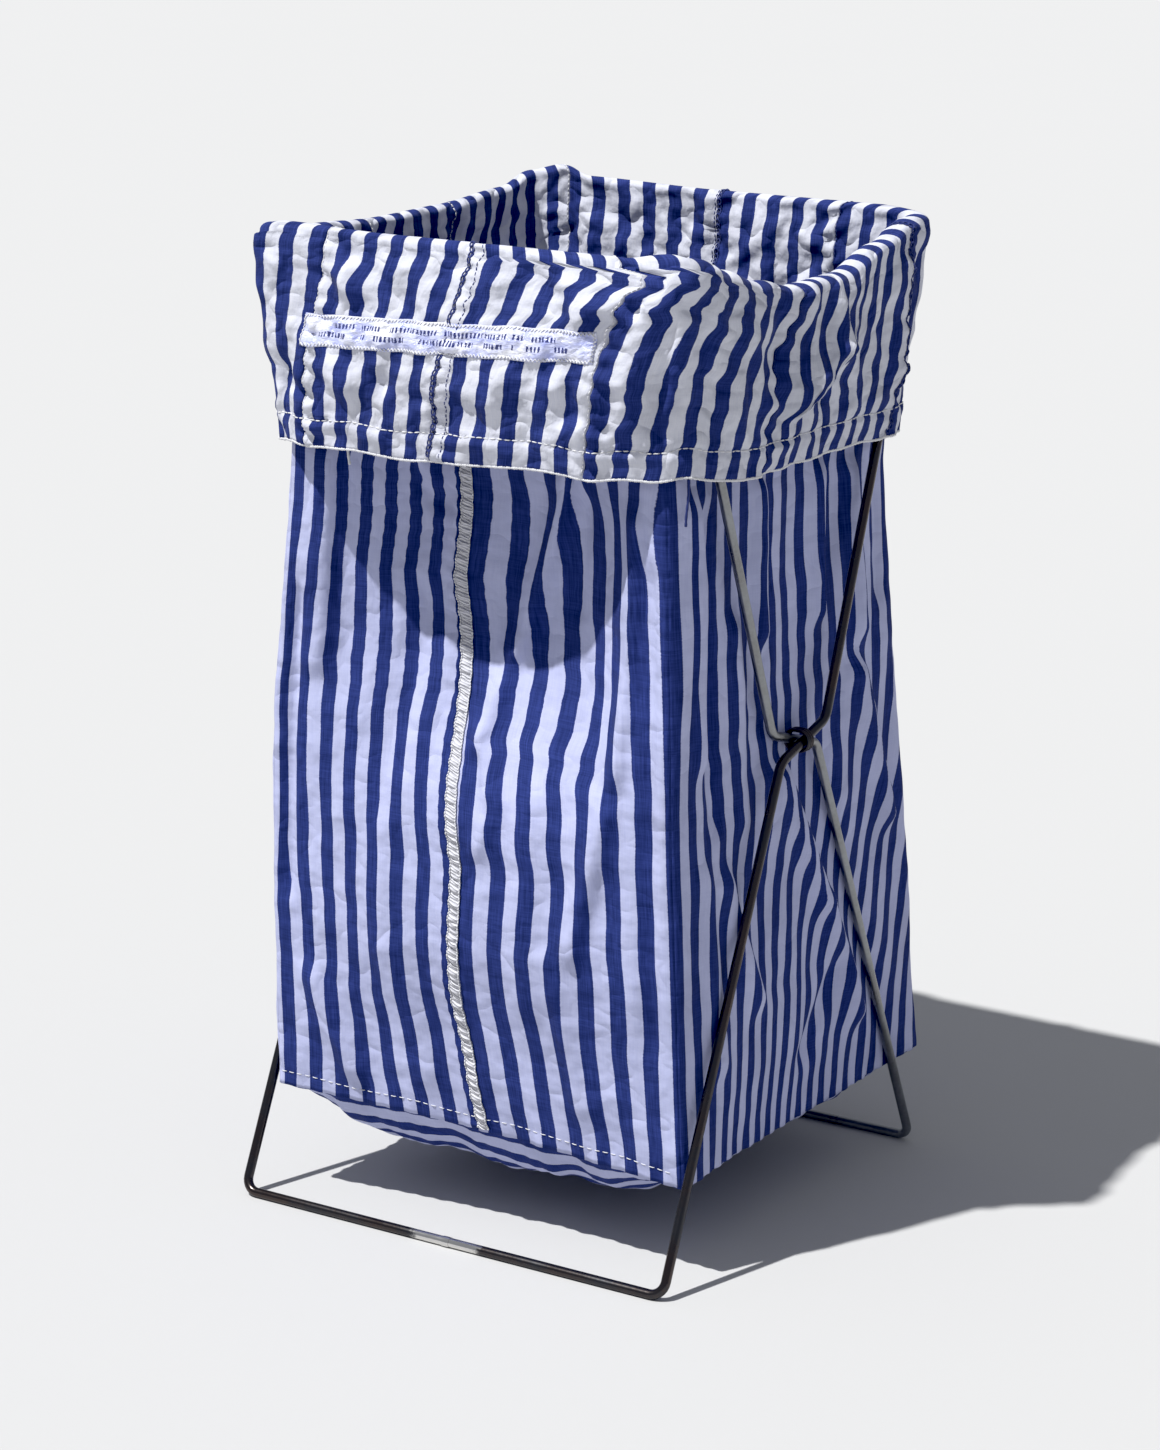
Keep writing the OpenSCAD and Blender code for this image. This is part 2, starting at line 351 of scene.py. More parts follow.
def rope_parts(path, radius, sides=8, closed=False, facing=None):
    """Points and faces of a round thread along a path; radius may vary along it."""
    path = np.asarray(path, float)
    n = len(path)
    if closed:
        along = unit(np.roll(path, -1, axis=0) - np.roll(path, 1, axis=0))
    else:
        along = unit(np.gradient(path, axis=0))
    facing = np.array((0.31, 0.22, 0.93)) if facing is None else facing
    u = unit(np.cross(along, facing))
    v = np.cross(along, u)
    angle = np.arange(sides) * 2 * math.pi / sides
    radius = np.broadcast_to(np.asarray(radius, float), (n,))[:, None, None]
    ring = path[:, None] + radius * (np.cos(angle)[None, :, None] * u[:, None]
                                     + np.sin(angle)[None, :, None] * v[:, None])
    faces = []
    for i in range(n if closed else n - 1):
        j = (i + 1) % n
        for k in range(sides):
            m = (k + 1) % sides
            faces.append((i * sides + k, i * sides + m, j * sides + m, j * sides + k))
    if not closed:
        faces.append(tuple(range(sides - 1, -1, -1)))
        faces.append(tuple((n - 1) * sides + k for k in range(sides)))
    return ring.reshape(-1, 3), faces


def joined(name, parts):
    """One object from many (points, faces) parts."""
    points, faces, count = [], [], 0
    for part_points, part_faces in parts:
        points.append(part_points)
        faces.extend(tuple(i + count for i in face) for face in part_faces)
        count += len(part_points)
    return new_object(name, np.concatenate(points), faces)


def stitch_row(points, normals, radius, bury=0.35):
    """Separate stitches between pairs of points, each arched over the cloth."""
    parts = []
    for i in range(0, len(points) - 1, 2):
        start, end = points[i], points[i + 1]
        normal = unit(normals[i] + normals[i + 1])
        arch = (-bury, 0.55, 0.8, 0.55, -bury)
        path = [start + (end - start) * k / 4 + normal * radius * lift
                for k, lift in enumerate(arch)]
        parts.append(rope_parts(path, radius * np.array((0.6, 1, 1, 1, 0.6)), 6, facing=normal))
    return parts


def line_on(ring, columns, rows, spacing, gap, lift=0.0):
    """Ends of stitches along a line on a ring, given by columns and rows at even steps."""
    points = ring.at(ring.points, columns, rows)
    normals = unit(ring.at(ring.normal(), columns, rows))
    run = np.concatenate([[0], np.cumsum(np.linalg.norm(np.diff(points, axis=0), axis=1))])
    count = int(run[-1] / spacing)
    starts = np.arange(count) * spacing
    marks = np.stack([starts, starts + spacing - gap], axis=1).ravel()
    pick = np.stack([np.interp(marks, run, points[:, k]) for k in range(3)], axis=1)
    face = np.stack([np.interp(marks, run, normals[:, k]) for k in range(3)], axis=1)
    return pick + unit(face) * lift, unit(face)


# ---- materials ----

def shader(name):
    material = bpy.data.materials.new(name)
    material.use_nodes = True
    return material, material.node_tree, material.node_tree.nodes["Principled BSDF"]


def plug(tree, value, socket):
    if isinstance(value, bpy.types.NodeSocket):
        tree.links.new(value, socket)
    else:
        socket.default_value = value


def maths(tree, operation, *values):
    node = tree.nodes.new("ShaderNodeMath")
    node.operation = operation
    for socket, value in zip(node.inputs, values):
        plug(tree, value, socket)
    return node.outputs[0]


def blend_colour(tree, share, first, second):
    node = tree.nodes.new("ShaderNodeMix")
    node.data_type = "RGBA"
    plug(tree, share, node.inputs["Factor"])
    plug(tree, first, node.inputs[6])
    plug(tree, second, node.inputs[7])
    return node.outputs[2]


def stretch(tree, value, low, high, to_low, to_high, kind="LINEAR"):
    node = tree.nodes.new("ShaderNodeMapRange")
    node.interpolation_type = kind
    plug(tree, value, node.inputs[0])
    for socket, number in zip(node.inputs[1:5], (low, high, to_low, to_high)):
        socket.default_value = number
    return node.outputs[0]


def cloth_place(tree):
    node = tree.nodes.new("ShaderNodeAttribute")
    node.attribute_name = "cloth"
    split = tree.nodes.new("ShaderNodeSeparateXYZ")
    tree.links.new(node.outputs["Vector"], split.inputs[0])
    return split.outputs[0], split.outputs[1]


def noise(tree, u, v, across, along, detail=2.0, w=0.0):
    """Noise with features 1/across wide and 1/along long, in metres of cloth."""
    pair = tree.nodes.new("ShaderNodeCombineXYZ")
    plug(tree, maths(tree, "MULTIPLY", u, across), pair.inputs[0])
    plug(tree, maths(tree, "MULTIPLY", v, along), pair.inputs[1])
    pair.inputs[2].default_value = w
    node = tree.nodes.new("ShaderNodeTexNoise")
    node.inputs["Scale"].default_value = 1.0
    node.inputs["Detail"].default_value = detail
    tree.links.new(pair.outputs[0], node.inputs["Vector"])
    return node.outputs["Fac"]


def object_noise(tree, scale, detail=2.0):
    place = tree.nodes.new("ShaderNodeTexCoord")
    node = tree.nodes.new("ShaderNodeTexNoise")
    node.inputs["Scale"].default_value = scale
    node.inputs["Detail"].default_value = detail
    tree.links.new(place.outputs["Object"], node.inputs["Vector"])
    return node.outputs["Fac"]


def bump(tree, height, distance, strength=1.0, before=None):
    node = tree.nodes.new("ShaderNodeBump")
    node.inputs["Strength"].default_value = strength
    node.inputs["Distance"].default_value = distance
    plug(tree, height, node.inputs["Height"])
    if before is not None:
        tree.links.new(before, node.inputs["Normal"])
    return node.outputs["Normal"]


def weave_height(tree, u, v):
    """Over and under of a fine plain weave."""
    yarns = 2 * math.pi / 0.00055
    across = maths(tree, "SINE", maths(tree, "MULTIPLY", u, yarns))
    along = maths(tree, "SINE", maths(tree, "MULTIPLY", v, yarns))
    return maths(tree, "MULTIPLY", across, along)


def dress_fibre(bsdf, roughness, sheen):
    bsdf.inputs["Roughness"].default_value = roughness
    bsdf.inputs["Sheen Weight"].default_value = sheen
    bsdf.inputs["Sheen Roughness"].default_value = 0.45
    bsdf.inputs["Specular IOR Level"].default_value = 0.2


def shirting(name, blue, white, repeat, wrinkle):
    """Yarn-dyed striped cotton: slubby stripes, fine weave and small wrinkles."""
    material, tree, bsdf = shader(name)
    u, v = cloth_place(tree)
    fray = stretch(tree, noise(tree, u, v, 900, 1100), 0, 1, -0.10, 0.10)
    wave = maths(tree, "COSINE", maths(tree, "MULTIPLY", u, 2 * math.pi / repeat))
    is_blue = stretch(tree, maths(tree, "ADD", wave, fray), -0.055, 0.055, 0, 1, "SMOOTHSTEP")
    slub = noise(tree, u, v, 1500, 45, 3.0, 3.1)
    weft = noise(tree, u, v, 60, 2100, 3.0, 7.7)
    # broad patches a little lighter or darker at random, from 0.90 to 1.06 of the stripe colour
    patchy_tone = object_noise(tree, 22, 4.0)
    yarn = maths(tree, "ADD", maths(tree, "MULTIPLY", slub, 0.6), maths(tree, "MULTIPLY", weft, 0.4))
    pale_blue = [c * 1.55 + 0.008 for c in blue] + [1]
    deep_blue = [c * 0.72 for c in blue] + [1]
    blue_yarn = blend_colour(tree, stretch(tree, yarn, 0.34, 0.66, 0, 1), deep_blue, pale_blue)
    dull_white = [white[0] * 0.87, white[1] * 0.88, white[2] * 0.93, 1]
    white_yarn = blend_colour(tree, stretch(tree, yarn, 0.3, 0.62, 0, 1), dull_white, [*white, 1])
    stripes = blend_colour(tree, is_blue, white_yarn, blue_yarn)
    shade = stretch(tree, patchy_tone, 0.3, 0.7, 0.90, 1.06)
    toned = tree.nodes.new("ShaderNodeVectorMath")
    toned.operation = "SCALE"
    tree.links.new(stripes, toned.inputs[0])
    tree.links.new(shade, toned.inputs["Scale"])
    tree.links.new(toned.outputs[0], bsdf.inputs["Base Color"])
    fine = bump(tree, weave_height(tree, u, v), 0.00005, 0.5)
    slubs = bump(tree, yarn, 0.00012, 0.6, fine)
    soft = noise(tree, u, v, 95, 70, 3.0, 1.3)
    small = noise(tree, u, v, 260, 210, 2.0, 5.2)
    creased = maths(tree, "ADD", soft, maths(tree, "MULTIPLY", small, 0.3))
    wide = noise(tree, u, v, 30, 38, 2.0, 9.4)
    ridge = maths(tree, "ABSOLUTE", maths(tree, "SUBTRACT", wide, 0.5))
    creased = maths(tree, "ADD", creased, maths(tree, "MULTIPLY", ridge, 9.0))
    tree.links.new(bump(tree, creased, wrinkle, 0.8, slubs), bsdf.inputs["Normal"])
    rough = stretch(tree, yarn, 0.3, 0.7, 0.78, 0.92)
    tree.links.new(rough, bsdf.inputs["Roughness"])
    bsdf.inputs["Sheen Weight"].default_value = 0.03
    bsdf.inputs["Sheen Roughness"].default_value = 0.4
    bsdf.inputs["Specular IOR Level"].default_value = 0.1
    return material


def thread_finish(name, colour, twist=0.0011):
    """Twisted sewing thread."""
    material, tree, bsdf = shader(name)
    place = tree.nodes.new("ShaderNodeTexCoord")
    split = tree.nodes.new("ShaderNodeSeparateXYZ")
    tree.links.new(place.outputs["Object"], split.inputs[0])
    lean = maths(tree, "ADD", maths(tree, "ADD", split.outputs[0], split.outputs[1]),
                 maths(tree, "MULTIPLY", split.outputs[2], 1.4))
    ply = maths(tree, "SINE", maths(tree, "MULTIPLY", lean, 2 * math.pi / twist))
    fluff = object_noise(tree, 900, 3.0)
    # painted shade: the thread is drawn darker in the grooves of its twist, where the bump is low
    dark = [c * 0.72 for c in colour] + [1]
    shade = maths(tree, "ADD", stretch(tree, ply, -1, 1, 0, 0.6), maths(tree, "MULTIPLY", fluff, 0.4))
    tree.links.new(blend_colour(tree, shade, dark, [*colour, 1]), bsdf.inputs["Base Color"])
    tree.links.new(bump(tree, ply, 0.0001, 0.6), bsdf.inputs["Normal"])
    dress_fibre(bsdf, 0.75, 0.15)
    return material


def serging_finish():
    """White overlock threads, drawn tight into slanted loops."""
    material, tree, bsdf = shader("serging_thread")
    u, v = cloth_place(tree)
    lean = maths(tree, "ADD", v, maths(tree, "MULTIPLY", u, 0.35))
    uneven = maths(tree, "MULTIPLY", noise(tree, u, v, 120, 160), 5)
    loops = maths(tree, "SINE", maths(tree, "ADD", uneven,
                                      maths(tree, "MULTIPLY", lean, 2 * math.pi / 0.0017)))
    fluff = noise(tree, u, v, 900, 700, 3.0, 2.2)
    # painted shade: grey-blue in the grooves between the white loops, where the bump is low
    shade = maths(tree, "ADD", stretch(tree, loops, -1, 1, 0.15, 0.75),
                  maths(tree, "MULTIPLY", fluff, 0.3))
    tree.links.new(blend_colour(tree, shade, (0.36, 0.36, 0.42, 1), (0.80, 0.80, 0.84, 1)),
                   bsdf.inputs["Base Color"])
    tree.links.new(bump(tree, loops, 0.0004, 0.9), bsdf.inputs["Normal"])
    dress_fibre(bsdf, 0.8, 0.15)
    return material


# Marks of the label in metres: rows as height, start and end, half their height, and their pitch
MARK_ROWS = ((0.0122, 0.022, 0.176), (0.0070, 0.015, 0.184))
MARK_HALF = 0.00145
MARK_PITCH = 0.0024


def woven_marks(tree, bsdf, u, v):
    """Two rows of small navy marks, grouped like words but saying nothing."""
    rows = []
    for (middle, start, end), shift in zip(MARK_ROWS, (0.0, 3.7)):
        off_row = maths(tree, "ABSOLUTE", maths(tree, "SUBTRACT", v, middle))
        tall = maths(tree, "LESS_THAN", off_row, MARK_HALF)
        after_start = maths(tree, "GREATER_THAN", u, start)
        inside = maths(tree, "MULTIPLY", after_start, maths(tree, "LESS_THAN", u, end))
        words = maths(tree, "GREATER_THAN", noise(tree, u, shift, 105, 1, 0.0, shift), 0.40)
        even = maths(tree, "SINE", maths(tree, "MULTIPLY", u, 2 * math.pi / MARK_PITCH))
        uneven = stretch(tree, noise(tree, u, v, 420, 600, 2.0, shift), 0.3, 0.7, -0.9, 0.9)
        strokes = maths(tree, "ADD", even, uneven)
        inked = maths(tree, "GREATER_THAN", strokes, -0.1)
        rows.append(maths(tree, "MULTIPLY", maths(tree, "MULTIPLY", tall, inside),
                          maths(tree, "MULTIPLY", words, inked)))
    ink = maths(tree, "ADD", *rows)
    satin = bsdf.inputs["Base Color"].links[0].from_socket
    tree.links.new(blend_colour(tree, ink, satin, (0.025, 0.035, 0.16, 1)),
                   bsdf.inputs["Base Color"])


def satin_finish():
    """White satin ribbon of the woven label, crumpled between its stitches; its blue-lavender patches are
    partly its own tone and partly painted bluish glints.
    """
    material, tree, bsdf = shader("label_satin")
    u, v = cloth_place(tree)
    ribs = maths(tree, "SINE", maths(tree, "MULTIPLY", v, 2 * math.pi / 0.0005))
    crumple = noise(tree, u, v, 210, 330, 3.0)
    cast = noise(tree, u, v, 60, 130, 2.0, 4.0)
    # the blue-lavender patches blended in here are partly the label's tone and partly painted bluish glints
    # on the satin
    tree.links.new(blend_colour(tree, stretch(tree, cast, 0.35, 0.65, 0, 1),
                                (0.42, 0.46, 0.82, 1), (0.80, 0.81, 0.90, 1)),
                   bsdf.inputs["Base Color"])
    fine = bump(tree, ribs, 0.00004, 0.5)
    woven_marks(tree, bsdf, u, v)
    tree.links.new(bump(tree, crumple, 0.0022, 0.9, fine), bsdf.inputs["Normal"])
    bsdf.inputs["Roughness"].default_value = 0.24
    bsdf.inputs["Sheen Weight"].default_value = 0.2
    bsdf.inputs["Specular IOR Level"].default_value = 0.6
    return material


def wire_finish(name, colour, tint, roughness, ground_half):
    """Bare drawn steel: draw lines, random patches of a second tint, handling marks, and a bright patch by
    the weld.
    """
    material, tree, bsdf = shader(name)
    place = tree.nodes.new("ShaderNodeTexCoord")
    split = tree.nodes.new("ShaderNodeSeparateXYZ")
    tree.links.new(place.outputs["Object"], split.inputs[0])
    stains = object_noise(tree, 34, 5.0)
    specks = object_noise(tree, 420, 3.0)
    mixed = maths(tree, "ADD", maths(tree, "MULTIPLY", stains, 0.7), maths(tree, "MULTIPLY", specks, 0.3))
    steel = blend_colour(tree, stretch(tree, mixed, 0.38, 0.62, 0, 1), [*tint, 1], [*colour, 1])
    away = maths(tree, "ABSOLUTE", split.outputs[0])
    ragged = maths(tree, "ADD", away, stretch(tree, specks, 0, 1, -0.006, 0.006))
    low = maths(tree, "LESS_THAN", split.outputs[2], 0.02)
    ground = maths(tree, "MULTIPLY", low,
                   stretch(tree, ragged, ground_half * 0.8, ground_half, 1, 0))
    tree.links.new(blend_colour(tree, ground, steel, (0.66, 0.65, 0.63, 1)), bsdf.inputs["Base Color"])
    rough = maths(tree, "ADD", stretch(tree, stains, 0.3, 0.7, roughness - 0.06, roughness + 0.1),
                  maths(tree, "MULTIPLY", ground, -0.14))
    tree.links.new(rough, bsdf.inputs["Roughness"])
    tree.links.new(bump(tree, specks, 0.00012, 0.5), bsdf.inputs["Normal"])
    bsdf.inputs["Metallic"].default_value = 1.0
    return material


def floor_finish(colour):
    material, tree, bsdf = shader("studio_floor")
    grain = object_noise(tree, 3, 3.0)
    tree.links.new(blend_colour(tree, grain, [c * 0.995 for c in colour] + [1], [*colour, 1]),
                   bsdf.inputs["Base Color"])
    bsdf.inputs["Roughness"].default_value = 1.0
    bsdf.inputs["Specular IOR Level"].default_value = 0.0
    return material


FINISHES = {}


def finish(name):
    """The material of one finish, made the first time it is asked for."""
    if name not in FINISHES:
        cloth, wire = bpy.context.scene.sack_cloth, bpy.context.scene.sack_wire
        FINISHES[name] = {
            "stripe_body": lambda: shirting("body_shirting", cloth.blue, cloth.body_white,
                                            cloth.stripe, 0.0008),
            "stripe_band": lambda: shirting("cuff_shirting", cloth.blue, cloth.band_white,
                                            cloth.stripe, 0.0020),
            "serging": serging_finish,
            "label": satin_finish,
            "thread_white": lambda: thread_finish("white_thread", (0.84, 0.84, 0.86)),
            "thread_dark": lambda: thread_finish("navy_thread", (0.035, 0.05, 0.19)),
            # painted reflection: the lighter loop is the same steel as the darker one, drawn lighter for
            # the bright surroundings it reflects
            "steel_bright": lambda: wire_finish("drawn_wire_painted_lit", wire.bright, (0.20, 0.20, 0.20),
                                                0.30, wire.ground_half),
            # painted shade: the darker loop is drawn near-black for the dark surroundings it reflects, and
            # its brown tint is painted brown reflection
            "steel_dark": lambda: wire_finish("drawn_wire_painted_shade", wire.dark, (0.085, 0.068, 0.060),
                                              0.24, wire.ground_half),
            "weld": lambda: wire_finish("ground_weld", (0.66, 0.65, 0.63), (0.5, 0.47, 0.42),
                                        0.24, 0.05),
            "winding": lambda: wire_finish("blackened_winding", (0.05, 0.05, 0.052),
                                           (0.09, 0.07, 0.06), 0.38, 0.0),
        }[name]()
    return FINISHES[name]


def settle(piece, slot, *nodes, flat=None, held="hung", rests_on=(), area=None, with_pieces=()):
    """Gives a piece of the sack its finish, parents it to the sack's empty and hides the CAD nodes it
    stands in for.
    """
    piece.data.materials.append(finish(slot))
    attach(piece, "sack")
    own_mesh(piece)
    if nodes:
        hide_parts(*nodes)
    return piece


# ---- the body of the sack ----

BODY_SIDE_COLUMNS = 112
BODY_ROWS = 150
# Corner lines of the body: heights, then X and Y at each height, from the front left round
BODY_HEIGHTS = (60, 164, 250, 319, 457, 500)
BODY_CORNERS = (
    ((-142, -143, -143.5, -143, -138.5, -135), (-137, -140, -141, -141, -141, -141)),
    ((145, 144, 142, 141, 138, 135), (-125, -132, -137, -139, -141, -141)),
    ((148, 146, 144, 142, 137, 135), (177, 161, 153, 148, 143, 141)),
    ((-143, -143, -142, -141, -137, -135), (168, 157, 151, 147, 142, 141)),
)
BODY_ROUNDING = ((5, 6, 7, 9, 30, 26), (5, 8, 11, 16, 26, 26), (5, 6, 12, 19, 38, 30),
                 (6, 8, 12, 18, 30, 28))
# Height of the bottom seam at each corner
BODY_SEAM_RISE = (70, 58, 60, 64)
# Where the front seam lies: heights, then X at each
BODY_SEAM_X = ((60, 77, 152, 235, 319, 402, 440, 485, 500),
               (1, -1, -12, -11, -23, -36, -34, -33, -34))
# Width of the cloth in half of the front, and in a side
BODY_FRONT_CLOTH = 143
BODY_SIDE_CLOTH = 296

# How much deeper the folds are made than their listed rise
FOLD_DEPTH = 1.35
# Folds of the front wall: start and end as X and height, then rise and the two widths
FRONT_CREASES = (
    ((58, 500), (4, 346), 6.0, 6, 13),
    ((6, 356), (-6, 296), 4.0, 5, 9),
    ((-64, 495), (-41, 444), 5.0, 9, 5),
    ((-41, 452), (-54, 385), 4.5, 5, 10),
    ((-104, 485), (-112, 330), 5.0, 5, 12),
    ((-128, 400), (-131, 190), -4.0, 5, 6),
    ((108, 470), (100, 290), 5.5, 4, 10),
    ((100, 300), (72, 180), 4.5, 5, 12),
    ((-6, 325), (18, 268), 3.6, 7, 5),
    ((18, 278), (6, 235), 3.2, 5, 7),
    ((-118, 160), (-78, 76), 4.6, 6, 11),
    ((-60, 190), (-30, 80), 2.4, 9, 12),
    ((55, 200), (78, 80), 3.0, 10, 8),
    ((60, 470), (50, 380), -3.0, 8, 8),
    ((122, 440), (126, 130), -3.0, 6, 7),
    ((-76, 470), (-84, 300), 2.4, 9, 12),
    ((-50, 440), (-62, 250), -2.4, 9, 10),
    ((38, 300), (45, 140), 2.0, 10, 12),
)
# Folds of the right wall: start and end as Y and height
RIGHT_CREASES = (
    ((-112, 480), (-104, 300), 4.5, 5, 9),
    ((-96, 470), (-84, 260), -3.5, 6, 8),
    ((-28, 478), (-24, 360), 4.5, 5, 9),
    ((45, 478), (44, 360), 4.5, 4, 9),
    ((82, 470), (96, 340), 4.5, 6, 10),
    ((85, 345), (135, 215), 5.0, 6, 12),
    ((-14, 300), (48, 186), 5.5, 6, 13),
    ((40, 205), (92, 96), 5.0, 8, 12),
    ((-82, 250), (-36, 140), 4.5, 6, 12),
    ((-104, 260), (-82, 110), 3.5, 7, 9),
    ((10, 90), (70, 160), -3.5, 9, 9),
    ((116, 470), (122, 360), -3.5, 5, 7),
    ((-60, 400), (-52, 250), 3.0, 8, 10),
    ((60, 300), (66, 240), 3.0, 9, 12),
)


def legs():
    """Middle lines of the stand's four legs, as heights with X and Y at each."""
    lines = []
    for node in ("front_top_frame", "rear_top_frame"):
        wire = np.array([v.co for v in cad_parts[node].data.vertices]) / MM
        heights = np.arange(8, RIM_Z - 8, 4.0)
        for sign in (-1, 1):
            leg = wire[sign * wire[:, 0] > WALL_X - 2]
            leg = leg[np.argsort(leg[:, 2])]
            lines.append((sign, heights, np.stack([leg_middle(leg, height) for height in heights])))
    return lines


def clear_of_legs(points, outside, gap=0.9, reach=14):
    """Moves cloth off the legs that run past it: cloth outside them outward, the rest inward."""
    cleared = points.copy()
    for sign, heights, line in legs():
        x = sign * np.interp(points[..., 2], heights, line[:, 0])
        y = np.interp(points[..., 2], heights, line[:, 1])
        near = np.exp(-((points[..., 1] - y) / reach) ** 2)
        at = sign * cleared[..., 0]
        beyond = np.clip(at - (x - WIRE_R - gap), 0, 30) * near
        short = np.clip(x + WIRE_R + gap - at, 0, 30) * near
        at = at + np.where(at > 100, np.where(outside, short, -beyond), 0)
        cleared[..., 0] = sign * at
    return cleared


def leg_middle(leg, height):
    """Middle of a leg at a height, between its nearest sections."""
    low = leg[leg[:, 2] <= height][-24:]
    high = leg[leg[:, 2] > height][:24]
    if not len(low) or not len(high):
        return (low if len(low) else high).mean(axis=0)
    a, b = low.mean(axis=0), high.mean(axis=0)
    share = np.clip((height - a[2]) / max(b[2] - a[2], 1e-6), 0, 1)
    return a + (b - a) * share


def body_ring():
    """The four walls of the body, from the bottom seam up to the band."""
    columns = 4 * BODY_SIDE_COLUMNS
    rise = np.linspace(0, 1, BODY_ROWS)
    level = SEAM_Z + (BAND_LOW_Z - SEAM_Z) * rise
    corners = np.stack([np.stack([np.interp(level, BODY_HEIGHTS, line) for line in corner], axis=1)
                        for corner in BODY_CORNERS], axis=1)
    radii = np.stack([np.interp(level, BODY_HEIGHTS, r) for r in BODY_ROUNDING], axis=1)
    place = np.tile(np.arange(columns) / BODY_SIDE_COLUMNS, (BODY_ROWS, 1))
    t = place - np.floor(place)
    side = np.floor(place).astype(int)
    # the front seam wanders, and the cloth beside it goes with it
    seam_x = np.interp(level, *BODY_SEAM_X)
    middle = (seam_x - corners[:, 0, 0]) / (corners[:, 1, 0] - corners[:, 0, 0])
    warp = (middle - 0.5)[:, None] * 4 * t * (1 - t)
    place = place + np.where(side == FRONT, warp, 0)
    t = place - side
    plan = around(corners, radii, place)
    out = outward(plan)

    z = np.repeat(level[:, None], columns, axis=1)
    bottom = np.interp(place.ravel() % 4, (0, 1, 2, 3, 4), (*BODY_SEAM_RISE, BODY_SEAM_RISE[0]))
    z = z + (bottom.reshape(z.shape) - SEAM_Z) * (1 - rise)[:, None] ** 2
    arch = np.sin(math.pi * np.clip(t, 0, 1))
    hollow = {
        FRONT: between(level, (60, 110, 190, 250, 385, 440, 500), (-9, -5, 5, 0, -48, -51, -42)),
        RIGHT: between(level, (60, 130, 230, 306, 420, 500), (-2, 2, -2, -6, -9, -7)),
        REAR: between(level, (60, 130, 230, 330, 420, 500), (-3, 3, 2, -10, -16, -10)),
        LEFT: between(level, (60, 130, 230, 306, 420, 500), (-2, 3, -2, -6, -10, -7)),
    }
    push = np.zeros_like(z)
    for wall, depth in hollow.items():
        shape = arch ** (1.2 if wall == FRONT else 1.0)
        push += np.where(side == wall, depth[:, None] * shape, 0)

    along = {FRONT: plan[..., 0], RIGHT: plan[..., 1], REAR: plan[..., 0], LEFT: plan[..., 1]}
    for wall, creases in ((FRONT, FRONT_CREASES), (RIGHT, RIGHT_CREASES)):
        edge = ease(arch * 5)
        for start, end, height, above, below in creases:
            fold = crease(along[wall], z, start, end, FOLD_DEPTH * height, above, below)
            push += np.where(side == wall, edge * fold, 0)
    run = row_lengths(np.concatenate([plan, z[..., None]], axis=-1))[:, :-1]
    push += loose_folds(run, z, 11, 34, (SEAM_Z, BAND_LOW_Z)) * ease(arch * 4 + 0.25)
    push += 1.0 * ripples(run, z * 0.35, 5, 46) + 0.35 * ripples(run, z * 0.6, 6, 17)
    # gathers along the front seam and above the bottom seam
    beside = np.where(side == FRONT, plan[..., 0] - seam_x[:, None], 99)
    pull = np.sin(2 * math.pi * z / 10.5 + 1.5 * ripples(z, z, 8, 60) + beside * 0.25)
    push += 1.0 * pull * np.exp(-(np.abs(beside) / 8) ** 1.5)
    push += 0.6 * np.sin(2 * math.pi * run / 13 + 2 * ripples(run, z, 9, 50)) * np.exp(
        -((z - bottom.reshape(z.shape)) / 9) ** 2)
    plan = plan + out * push[..., None]
    points = clear_of_legs(np.concatenate([plan, z[..., None]], axis=-1), False)

    n = BODY_SIDE_COLUMNS
    half = n // 2
    stops = ((half, n), (n, 2 * n), (2 * n, 2 * n + half), (2 * n + half, 3 * n), (3 * n, 4 * n), (0, half))
    side_cloth, front_cloth = BODY_SIDE_CLOTH, BODY_FRONT_CLOTH
    first = 7.25
    corner_right = first + front_cloth
    corner_rear = corner_right + side_cloth
    last = -1.25
    left_rear = last + front_cloth + side_cloth
    cloth_stops = ((first, front_cloth), (corner_right, side_cloth), (corner_rear, front_cloth),
                   (left_rear + front_cloth, -front_cloth), (left_rear, -side_cloth),
                   (last + front_cloth, -front_cloth))
    ring = Ring(points, place, stops, cloth_stops)
    # the lower rear of the right wall hangs askew, so its stripes lean forward as they fall
    lean = 72 * ease((330 - z) / 290)
    ring.cloth += lean * np.where(side == RIGHT, ease(t * 1.35), np.where(side == REAR, 1 - t, 0))
    ring.cloth += 1.6 * ripples(run, z * 0.5, 21, 90) * ease(arch * 4)
    to_seam = ease(np.abs(t - 0.5) * 2 * n / 34)
    left_half = np.where(place < 0.5, -1, 1)
    for start, end, hidden, near, far in FRONT_TUCKS:
        drawn = tuck(points[..., 0] + 0.617 * (points[..., 1] + WALL_Y), z, start, end, hidden, near, far)
        ring.cloth += np.where(side == FRONT, drawn * to_seam * left_half * ease(arch * 6), 0)
    for start, end, hidden, near, far in RIGHT_TUCKS:
        drawn = tuck(points[..., 1], z, start, end, hidden, near, far)
        ring.cloth += np.where(side == RIGHT, drawn * ease(arch * 5), 0)
    return ring


def loose_folds(run, z, seed, count, heights):
    """Long soft folds that hang at random, a little off the vertical."""
    rng = np.random.default_rng(seed)
    low, high = heights
    full = run.max()
    total = np.zeros_like(z)
    for _ in range(count):
        where, lean = rng.uniform(0, full), rng.normal(0, 0.07)
        rise, width = rng.uniform(-2.4, 2.8), rng.uniform(6, 16)
        middle, reach = rng.uniform(low, high), rng.uniform(70, 200)
        across = (run - where - lean * (z - middle) + full / 2) % full - full / 2
        shape = np.exp(-(np.abs(across) / width) ** 1.6)
        total += rise * shape * np.exp(-((z - middle) / reach) ** 4)
    return total


